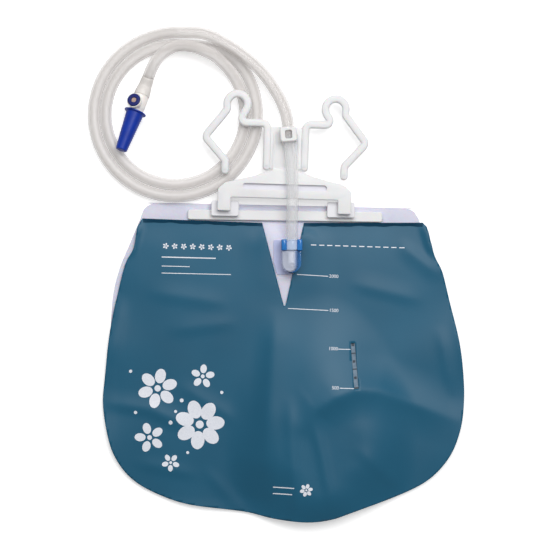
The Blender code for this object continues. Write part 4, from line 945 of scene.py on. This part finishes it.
# Its marks are printed as the white ones are, in a nearly black ink
dark_ink = mottled("dark_screen_printed_ink", "16222e", "2b3b4a", 1.11, 0.5, detail=1.0)
SLIT_TOP = seen(352.3, 343)
SLIT_FOOT = seen(355.5, 387.5)
STRIP_WIDTH = mm(7)
STRIP_OVERLAP = Vector((0.0, mm(2)))
# The marks: how far down the slit each lies, its length down the slit and its width
WINDOW_MARKS = (
    (0.03, 2.4, 2.2), (0.22, 1.0, 3.4), (0.40, 2.0, 2.2), (0.57, 1.0, 3.4), (0.76, 2.2, 2.2),
    (0.985, 1.6, 3.4),
)
bm = bmesh.new()
add_line(bm, SLIT_TOP + STRIP_OVERLAP, SLIT_FOOT - STRIP_OVERLAP, STRIP_WIDTH)
window_strip = lay_on_flap("window_film", bm, window_film, -mm(0.25))
bm = bmesh.new()
for share, length, width in WINDOW_MARKS:
    middle = SLIT_TOP.lerp(SLIT_FOOT, share)
    reach = (SLIT_TOP - SLIT_FOOT).normalized() * mm(length / 2)
    add_line(bm, middle - reach, middle + reach, mm(width))
window_print = lay_on_flap("window_marks", bm, dark_ink, -mm(0.12))

# %% [markdown]
# ## Moulded white parts
# Hanger, rail and clip are injection moulded in polypropylene, which comes out of the mould with a
# fine satin face and softly rounded edges. The rail's sockets look bluer, because the bag's film lies
# over them. The floor of the hanger's pocket is drawn darker and bluer, which is painted shade.


# %% Moulded polypropylene
def finish(material, *names):
    """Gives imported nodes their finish."""
    for name in names:
        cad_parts[name].material_slots[0].material = material


# Polypropylene lets a little light in, which softens its edges, and its mould leaves a satin face
satin_white = moulded(
    "moulded_polypropylene", "e0e0e2", "eaeaea", 22.2, 0.1, 0.5,
    Subsurface_Weight=0.15, Subsurface_Scale=0.001, IOR=1.49,
)
finish(satin_white, "top_rail", "tube_clip")
# Under the bag's film, the same plastic looks smoother and a touch bluer
film_white = moulded("polypropylene_under_film", "e1e0e5", "ebebee", 11.1, 0.2, 0.5, IOR=1.49)
finish(film_white, "rail_socket_left", "rail_socket_right")
# The pocket's floor takes a darker lavender grey, which is painted shade in the recess
pocket_shade_white = moulded("polypropylene_painted_shade", "d6d5df", "e3e2ea", 11.1, 0.1, 0.4, IOR=1.49)

# %% [markdown]
# ## Hanger
# One moulding: a yoke whose two legs stand on the rail, a thin ribbed web up its middle, and two sprung
# bars bent into hooks for the bed rail. The bars are a rounded section swept along their middle line.
# The yoke is a plate from its half outline, with its edges beveled and a long shallow pocket cut in.

# %% Plates
TOP_FRAME = Matrix.Translation((0.0010, 0.0977, 0.0)) @ Matrix.Rotation(math.radians(-1.8), 4, "Z")
HANGER_Z = mm(13.3)
BAR_WIDTH = mm(6.4)
BAR_THICKNESS = mm(6)
BAR_ROUND = mm(1.9)


def pour(bm, fresh, place):
    """Adds a finished shape to a mesh, laid in its place."""
    fresh.transform(place)
    shape = new_mesh("shape", fresh)
    bm.from_mesh(shape)
    bpy.data.meshes.remove(shape)


def plate(corners, back, front, edge):
    """A flat plate between two heights from x, y and radius corners, its rims beveled."""
    bm = bmesh.new()
    outline = rounded(corners, True, math.radians(12))
    bm.faces.new([bm.verts.new((*point, back)) for point in outline])
    thicken(bm, front)
    if edge:
        rims = [line for line in bm.edges if abs(line.verts[0].co.z - line.verts[1].co.z) < mm(0.001)]
        bmesh.ops.bevel(
            bm, geom=rims, offset=edge, offset_type="OFFSET", affect="EDGES", segments=3, profile=0.5,
            material=-1,
        )
    return bm


def box_corners(width, length, radius, x=0.0, y=0.0):
    """Corners of a rectangle about a middle."""
    signs = ((-1, -1), (1, -1), (1, 1), (-1, 1))
    return [(x + i * width / 2, y + j * length / 2, radius) for i, j in signs]


# %% Swept bars
def swept_bar(path):
    """The bar's rounded section along a level line."""
    section = bpy.data.curves.new("section", "CURVE")
    section.dimensions = "2D"
    line = bpy.data.curves.new("line", "CURVE")
    line.dimensions = "3D"
    line.twist_mode = "Z_UP"
    line.bevel_mode = "OBJECT"
    line.use_fill_caps = True
    profile = rounded(box_corners(BAR_WIDTH, BAR_THICKNESS, BAR_ROUND), True, math.radians(22.5))
    for curve, points, closed in ((section, profile, True), (line, path, False)):
        spline = curve.splines.new("POLY")
        spline.points.add(len(points) - 1)
        spline.use_cyclic_u = closed
        for target, point in zip(spline.points, points):
            target.co = (*point, 0.0, 1.0)
    holder = new_object("section", section)
    line.bevel_object = holder
    sweep = new_object("sweep", line)
    bpy.context.view_layer.update()
    shape = bpy.data.meshes.new_from_object(sweep.evaluated_get(bpy.context.evaluated_depsgraph_get()))
    bm = bmesh.new()
    bm.from_mesh(shape)
    bmesh.ops.remove_doubles(bm, verts=bm.verts, dist=mm(0.01))
    bmesh.ops.recalc_face_normals(bm, faces=bm.faces)
    for obj in (holder, sweep):
        bpy.data.objects.remove(obj)
    return bm


# %% Spinning a profile
def turned(bm, corners, place, closed=True, steps=64):
    """Spins radius and height corners, each with a rounding, about Z and lays the result in its place."""
    fresh = bmesh.new()
    outline = rounded(corners, closed, math.radians(22))
    line = [fresh.verts.new((point.x, 0.0, point.y)) for point in outline]
    edges = [fresh.edges.new(pair) for pair in zip(line, line[1:])]
    if closed:
        edges.append(fresh.edges.new((line[-1], line[0])))
    bmesh.ops.spin(
        fresh, geom=[*line, *edges], cent=(0, 0, 0), axis=(0, 0, 1), angle=math.tau, steps=steps,
        use_merge=True,
    )
    bmesh.ops.remove_doubles(fresh, verts=fresh.verts, dist=mm(0.005))
    bmesh.ops.recalc_face_normals(fresh, faces=fresh.faces)
    pour(bm, fresh, place)


# %% Yoke
YOKE_BACK = mm(10.5)
YOKE_FRONT = mm(16.1)
YOKE_EDGE = mm(0.9)
POCKET_BACK = mm(13.5)
POCKET_Y = mm(1.8)
# Half of the yoke's outline from the top of its middle, out over the shoulder and down the leg
YOKE_HALF = in_mm(
    (0, 17.5, 0), (10.8, 17.5, 0), (10.8, 16.0, 2), (24.0, 11.3, 10), (50.0, 4.6, 5), (56.4, -0.8, 4),
    (56.4, -19.5, 1.5), (45.2, -19.5, 1.5), (45.2, -7.9, 1.5), (0, -7.9, 0),
)
yoke_corners = [*YOKE_HALF, *[(-x, y, radius) for x, y, radius in YOKE_HALF[-2:0:-1]]]
pocket_corners = box_corners(mm(71), mm(5), mm(2.45), y=POCKET_Y)
shapes = []
for name, bm in (
    ("yoke", plate(yoke_corners, YOKE_BACK, YOKE_FRONT, YOKE_EDGE)),
    ("pocket", plate(pocket_corners, POCKET_BACK, mm(19), 0.0)),
):
    shapes.append(new_object(name, new_mesh(name, bm)))
carve = shapes[0].modifiers.new("pocket", "BOOLEAN")
carve.operation = "DIFFERENCE"
carve.object = shapes[1]
bpy.context.view_layer.update()
carved = shapes[0].evaluated_get(bpy.context.evaluated_depsgraph_get())
yoke = bmesh.new()
yoke.from_mesh(bpy.data.meshes.new_from_object(carved))
for obj in shapes:
    bpy.data.objects.remove(obj)
print("yoke", len(yoke.faces), "faces")

# %% Hooks, web and ribs
CROWN = (mm(42.1), mm(70.5), mm(8.75))
CROWN_SWEEP = math.radians(211)
CROWN_STEPS = 24
# How far each hook has sprung from its moulded place
HOOK_SPRING = {-1: (0.0, mm(0.4)), 1: (-mm(1.2), -mm(1.6))}
FREE_END = in_mm((50.8, 14.0, 0), (50.8, 22.5, 4.5), (68.8, 42.3, 4.5), (50.4, 65.8, 5))
ARM_Y = mm(55.4)
COLUMN_X = mm(16)


def hook_line(across, along):
    """Middle line of a right hand hook, from its free end over the crown and down the column."""
    x, y, radius = CROWN
    turns = [CROWN_SWEEP * step / CROWN_STEPS for step in range(CROWN_STEPS + 1)]
    crown = [(x + radius * math.cos(turn), y + radius * math.sin(turn), 0.0) for turn in turns]
    bent = [(a + across, b + along, c) for a, b, c in (*FREE_END, *crown)]
    arm = ((mm(40.3) + across, ARM_Y, mm(3.6)), (COLUMN_X, ARM_Y, mm(5)), (COLUMN_X, mm(18.7), 0.0))
    return rounded((*bent, *arm))


half = BAR_THICKNESS / 2
end_profile = (
    (0.0, half, 0.0), (BAR_WIDTH / 2, half, BAR_ROUND), (BAR_WIDTH / 2, -half, BAR_ROUND), (0.0, -half, 0.0)
)
web = box_corners(mm(29), mm(35.2), mm(2), y=mm(34.8))
bm = bmesh.new()
pour(bm, yoke, TOP_FRAME)
pour(bm, plate(web, mm(12.05), mm(14.55), mm(0.3)), TOP_FRAME)
for side, spring in HOOK_SPRING.items():
    line = [Vector((side * point.x, point.y)) for point in hook_line(*spring)]
    pour(bm, swept_bar(line), TOP_FRAME @ Matrix.Translation((0.0, 0.0, HANGER_Z)))
    for point in (line[0], line[-1]):
        place = TOP_FRAME @ Matrix.Translation((*point, HANGER_Z))
        turned(bm, end_profile, place, closed=False, steps=24)
    rib = box_corners(mm(1.4), mm(30), mm(0.5), x=side * mm(10.2), y=mm(32))
    peg = box_corners(mm(4.8), mm(4.8), mm(2.35), x=side * mm(50.8), y=-mm(15))
    pour(bm, plate(rib, mm(13), mm(15.35), mm(0.3)), TOP_FRAME)
    pour(bm, plate(peg, mm(6.3), mm(13), 0.0), TOP_FRAME)
# A thin sheet on the pocket's floor in a darker colour, which is painted shade in the recess
floor_corners = box_corners(mm(70.8), mm(4.8), mm(2.35), y=POCKET_Y)
pocket_painted_shade = plate(floor_corners, POCKET_BACK - mm(0.1), POCKET_BACK + mm(0.1), 0.0)
pocket_painted_shade.transform(TOP_FRAME)
put("pocket_painted_shade", pocket_painted_shade, pocket_shade_white)
put("hanger_moulding", bm, satin_white, ["hanger"], smooth=40)

# %% [markdown]
# ## Drip chamber
# The inlet is moulded in a clear hard plastic with a blue collar. Its socket, in the middle, looks pale,
# and the thick shoulders beside it look deep blue. The cup is hazier at its edges, where a look passes
# through more of its wall. The blue on its right side is a painted reflection of the blue plastic beside
# it.

# %% Clear and blue-tinted plastics
CHAMBER_X = 0.007
CHAMBER_Z = mm(13.6)
COLLAR_FOOT = 0.0462
COLLAR_LENGTH = mm(9.3)
CUP_PAINTED_BLUE_X = (0.0085, 0.0118)
CUP_HAZE = (0.3, 0.65)
# A polished mould makes hard clear plastic glossy. Its blue tint is deep where the plastic is thick
shoulder_blue = moulded(
    "blue_clear_plastic", "1568bc", "3a92e0", 3.03, 0.2, 0.12, IOR=1.49, Transmission_Weight=0.2
)
# The same plastic looks pale in the socket, round the clear tube
socket_clear = moulded(
    "pale_blue_clear_plastic", "bdd2f2", "d6e4f9", 5, 0.2, 0.12, IOR=1.49, Transmission_Weight=0.2
)
# The cup has no tint of its own, so it shows what is in it, with milky edges. The blue at its right is a
# painted reflection
cup_clear, cup_shader = start_material("moulded_clear_plastic", 0.08, IOR=1.49)
cup_place = add_node(cup_clear, "ShaderNodeTexCoord", {}).outputs["Object"]
spot = add_node(cup_clear, "ShaderNodeSeparateXYZ", {}, {"Vector": cup_place})
# Painted reflection: the cup turns blue towards its right side, by place
painted_blue_share = add_node(
    cup_clear, "ShaderNodeMapRange", {"From Min": CUP_PAINTED_BLUE_X[0], "From Max": CUP_PAINTED_BLUE_X[1]},
    {"Value": spot.outputs["X"]},
)
cup_tint = add_node(
    cup_clear, "ShaderNodeMix", {"data_type": "RGBA", 6: linear("e9efff"), 7: linear("5c98e0")},
    {0: painted_blue_share.outputs["Result"]},
)
cup_edge = add_node(cup_clear, "ShaderNodeLayerWeight", {"Blend": 0.4})
cup_haze = add_node(
    cup_clear, "ShaderNodeMix", {2: CUP_HAZE[0], 3: CUP_HAZE[1]}, {0: cup_edge.outputs["Facing"]}
)
cup_clear.node_tree.links.new(cup_tint.outputs[2], cup_shader.inputs["Base Color"])
cup_clear.node_tree.links.new(cup_haze.outputs[0], cup_shader.inputs["Alpha"])
finish(cup_clear, "drip_chamber")
# The plate is clear and flat on the film, whose lavender it takes
plate_clear = moulded(
    "clear_plastic_plate", "ccd4fb", "dfe5ff", 6.67, 0.3, 0.15, IOR=1.49, Alpha=0.6
)
finish(plate_clear, "chamber_flange")
# The nozzle is unpolished, so it scatters light and looks milky
nozzle_clear = moulded("milky_plastic", "ecf0f6", "fbfcff", 6.67, 0.2, 0.3, IOR=1.49, Alpha=0.9)
finish(nozzle_clear, "drip_nozzle")

# %% [markdown]
# The collar has two thick shoulders, which are plates with round corners, and between them a socket that
# is turned: its profile is spun once round the chamber's axis.

# %% Collar
chamber_axis = (
    Matrix.Translation((CHAMBER_X, COLLAR_FOOT, CHAMBER_Z)) @ Matrix.Rotation(-math.pi / 2, 4, "X")
)
bm = bmesh.new()
for side in (-1, 1):
    shoulder = box_corners(mm(4.6), mm(12.6), mm(1.6), x=side * mm(6.6))
    pour(bm, plate(shoulder, 0.0, COLLAR_LENGTH, mm(0.7)), chamber_axis)
put("collar_shoulders", bm, shoulder_blue, ["inlet_collar"])
SOCKET = in_mm(
    (5.25, 9.2, 0.2), (6.2, 9.2, 0.5), (6.2, 1.0, 0.5), (5.6, 0.1, 0.3), (3.4, 0.1, 0.2), (3.4, 2.6, 0.2),
    (5.25, 2.6, 0.2),
)
SOCKET_LIP = in_mm((6.1, 8.9, 0), (6.55, 8.9, 0.15), (6.55, 8.1, 0.15), (6.1, 8.1, 0))
bm = bmesh.new()
for profile in (SOCKET, SOCKET_LIP):
    turned(bm, profile, chamber_axis, steps=48)
put("collar_socket", bm, socket_clear)

# %% [markdown]
# Two walls of the chamber stand beside the cup. The right one is thick and hooks round under the cup.
# The left one is a thin edge, which looks darker because it is seen edge on.

# %% Chamber walls
HOOKED_WALL = in_mm(
    (12.4, 46.0, 0), (12.4, 30.2, 5.5), (5.4, 28.3, 0), (5.4, 27.4, 0), (15.0, 27.6, 8.5), (15.0, 46.0, 0)
)
THIN_WALL = in_mm(
    (-1.3, 46.0, 0), (-1.3, 27.3, 8.7), (6.0, 27.0, 0), (6.0, 27.7, 0), (-0.7, 27.9, 8.1), (-0.7, 46.0, 0)
)
# A thin layer of the blue plastic is clear, and tints what lies behind it
thin_blue = moulded(
    "thin_blue_clear_plastic", "3579c6", "4f97de", 3.03, 0.2, 0.1, IOR=1.49, Alpha=0.36
)
hooked_wall = plate(HOOKED_WALL, mm(8), mm(16.5), mm(0.3))
put("chamber_side_wall", hooked_wall, thin_blue)
# Seen along its length, even clear plastic looks dark, and greyer than its tint
edge_blue = moulded(
    "clear_plastic_seen_edge_on", "6c78a8", "8490bc", 3.03, 0.2, 0.15, IOR=1.49, Alpha=0.7
)
thin_wall = plate(THIN_WALL, mm(9), mm(16.2), mm(0.15))
put("chamber_thin_wall", thin_wall, edge_blue)

# %% [markdown]
# ## Connector, port and cap
# These are turned shapes: a profile spun once round its axis. The profile is drawn with small rounded
# corners, as a mould gives, and the whole is then laid on the tube's end, heading down and to the left.


# %% Where the connector lies
CONNECTOR_HEADING = math.radians(250.5)
CONNECTOR_RISE = math.radians(11.5)
heading = Vector((math.cos(CONNECTOR_HEADING), math.sin(CONNECTOR_HEADING), math.tan(CONNECTOR_RISE)))
connector_axis = Matrix.Translation(TUBE_END) @ heading.to_track_quat("Z", "Y").to_matrix().to_4x4()
port_axis = (
    connector_axis @ Matrix.Translation((0.0, 0.0, mm(10.6)))
    @ Matrix.Rotation(math.radians(17), 4, "Z") @ Matrix.Rotation(-math.pi / 2, 4, "X")
)
cap_axis = connector_axis @ Matrix.Translation((0.0, 0.0, mm(16.8)))

# %% Connector body
# Moulded ABS is a creamy white with a soft gloss
abs_white = moulded(
    "moulded_abs", "ece8e3", "f6f4f1", 8.33, 0.1, 0.32,
    Subsurface_Weight=0.1, Subsurface_Scale=0.001, IOR=1.52,
)
BODY = in_mm(
    (2, 0.3, 0), (5.8, 0.3, 0.2), (5.8, 1.2, 0.4), (6.6, 3.2, 0.8), (6.6, 12.8, 0.8), (5.8, 15, 0.5),
    (5.8, 19, 0.3), (5, 19, 0.2), (5, 27.2, 0.3), (4.3, 28, 0.2), (4.3, 35.2, 0.3), (3.6, 36, 0.2),
    (3.6, 43, 0.5), (2, 43, 0.2),
)
PORT = in_mm(
    (0, 11.1, 0), (5.7, 11.1, 0.1), (5.7, 12.6, 0.15), (6.3, 12.6, 0.25), (6.3, 10.2, 0.3),
    (4.9, 8.2, 0.5), (4.9, 3.3, 0), (0, 3.3, 0),
)
bm = bmesh.new()
turned(bm, BODY, connector_axis)
turned(bm, PORT, port_axis, closed=False, steps=48)
put("connector_body", bm, abs_white, ["sample_connector"], smooth=40)

# %% Blue cap and port ring
CAP = in_mm(
    (0, 35.5, 0), (4.9, 35.5, 0.9), (7.5, 1.1, 0.5), (9.45, 1.1, 0.3), (9.45, 0, 0.3), (6.35, 0, 0.3),
    (3.9, 34.3, 0.3), (0, 34.3, 0),
)
RING = in_mm((2.3, 11.4, 0), (2.3, 13.5, 0.5), (5.4, 13.5, 0.7), (5.4, 11.4, 0))
# Polyethylene takes a strong colour evenly, and has a waxy half gloss
blue_cap = moulded("moulded_blue_polyethylene", "002a90", "0036a8", 9.09, 0.15, 0.38, IOR=1.42)
bm = bmesh.new()
turned(bm, CAP, cap_axis, closed=False)
put("turned_cap", bm, blue_cap, ["protector_cap"], body="cap", smooth=40)
# The ring is of a darker and more matt polyethylene
navy = moulded("moulded_navy_polyethylene", "051052", "0a1d78", 3.33, 0.1, 0.5, IOR=1.4)
bm = bmesh.new()
turned(bm, RING, port_axis, steps=48)
put("port_ring", bm, navy, ["sample_port_ring"], smooth=40)

# %% [markdown]
# The septum and the tap's seals are rubber, pressed in a mould and matt. The outlet under the flap is
# soft clear PVC, with a tap of the connector's white plastic and a slide of the cap's blue one.

# %% Rubber, and the outlet under the flap
# Moulded rubber scatters the light that falls on it, so the tan septum has hardly any gloss
tan_rubber = moulded("moulded_tan_rubber", "a98c7d", "c2a99c", 1.67, 0.1, 0.75)
finish(tan_rubber, "sample_septum")
# The seals are of a nearly black rubber, with a faint sheen on it
dark_rubber = moulded("moulded_dark_rubber", "232528", "34373b", 1.67, 0.1, 0.6)
finish(dark_rubber, "tap_seal_left", "tap_seal_middle", "tap_seal_right")
# The outlet is of the tube's soft PVC, moulded and extruded thick, so it is hazier
outlet_pvc = moulded(
    "soft_clear_pvc", "d2d0cf", "e8e6e5", 8.33, 0.2, 0.22, Transmission_Weight=0.4, IOR=1.45
)
finish(outlet_pvc, "outlet_flange", "outlet_tube")
finish(abs_white, "tap_body")
finish(blue_cap, "tap_slide")
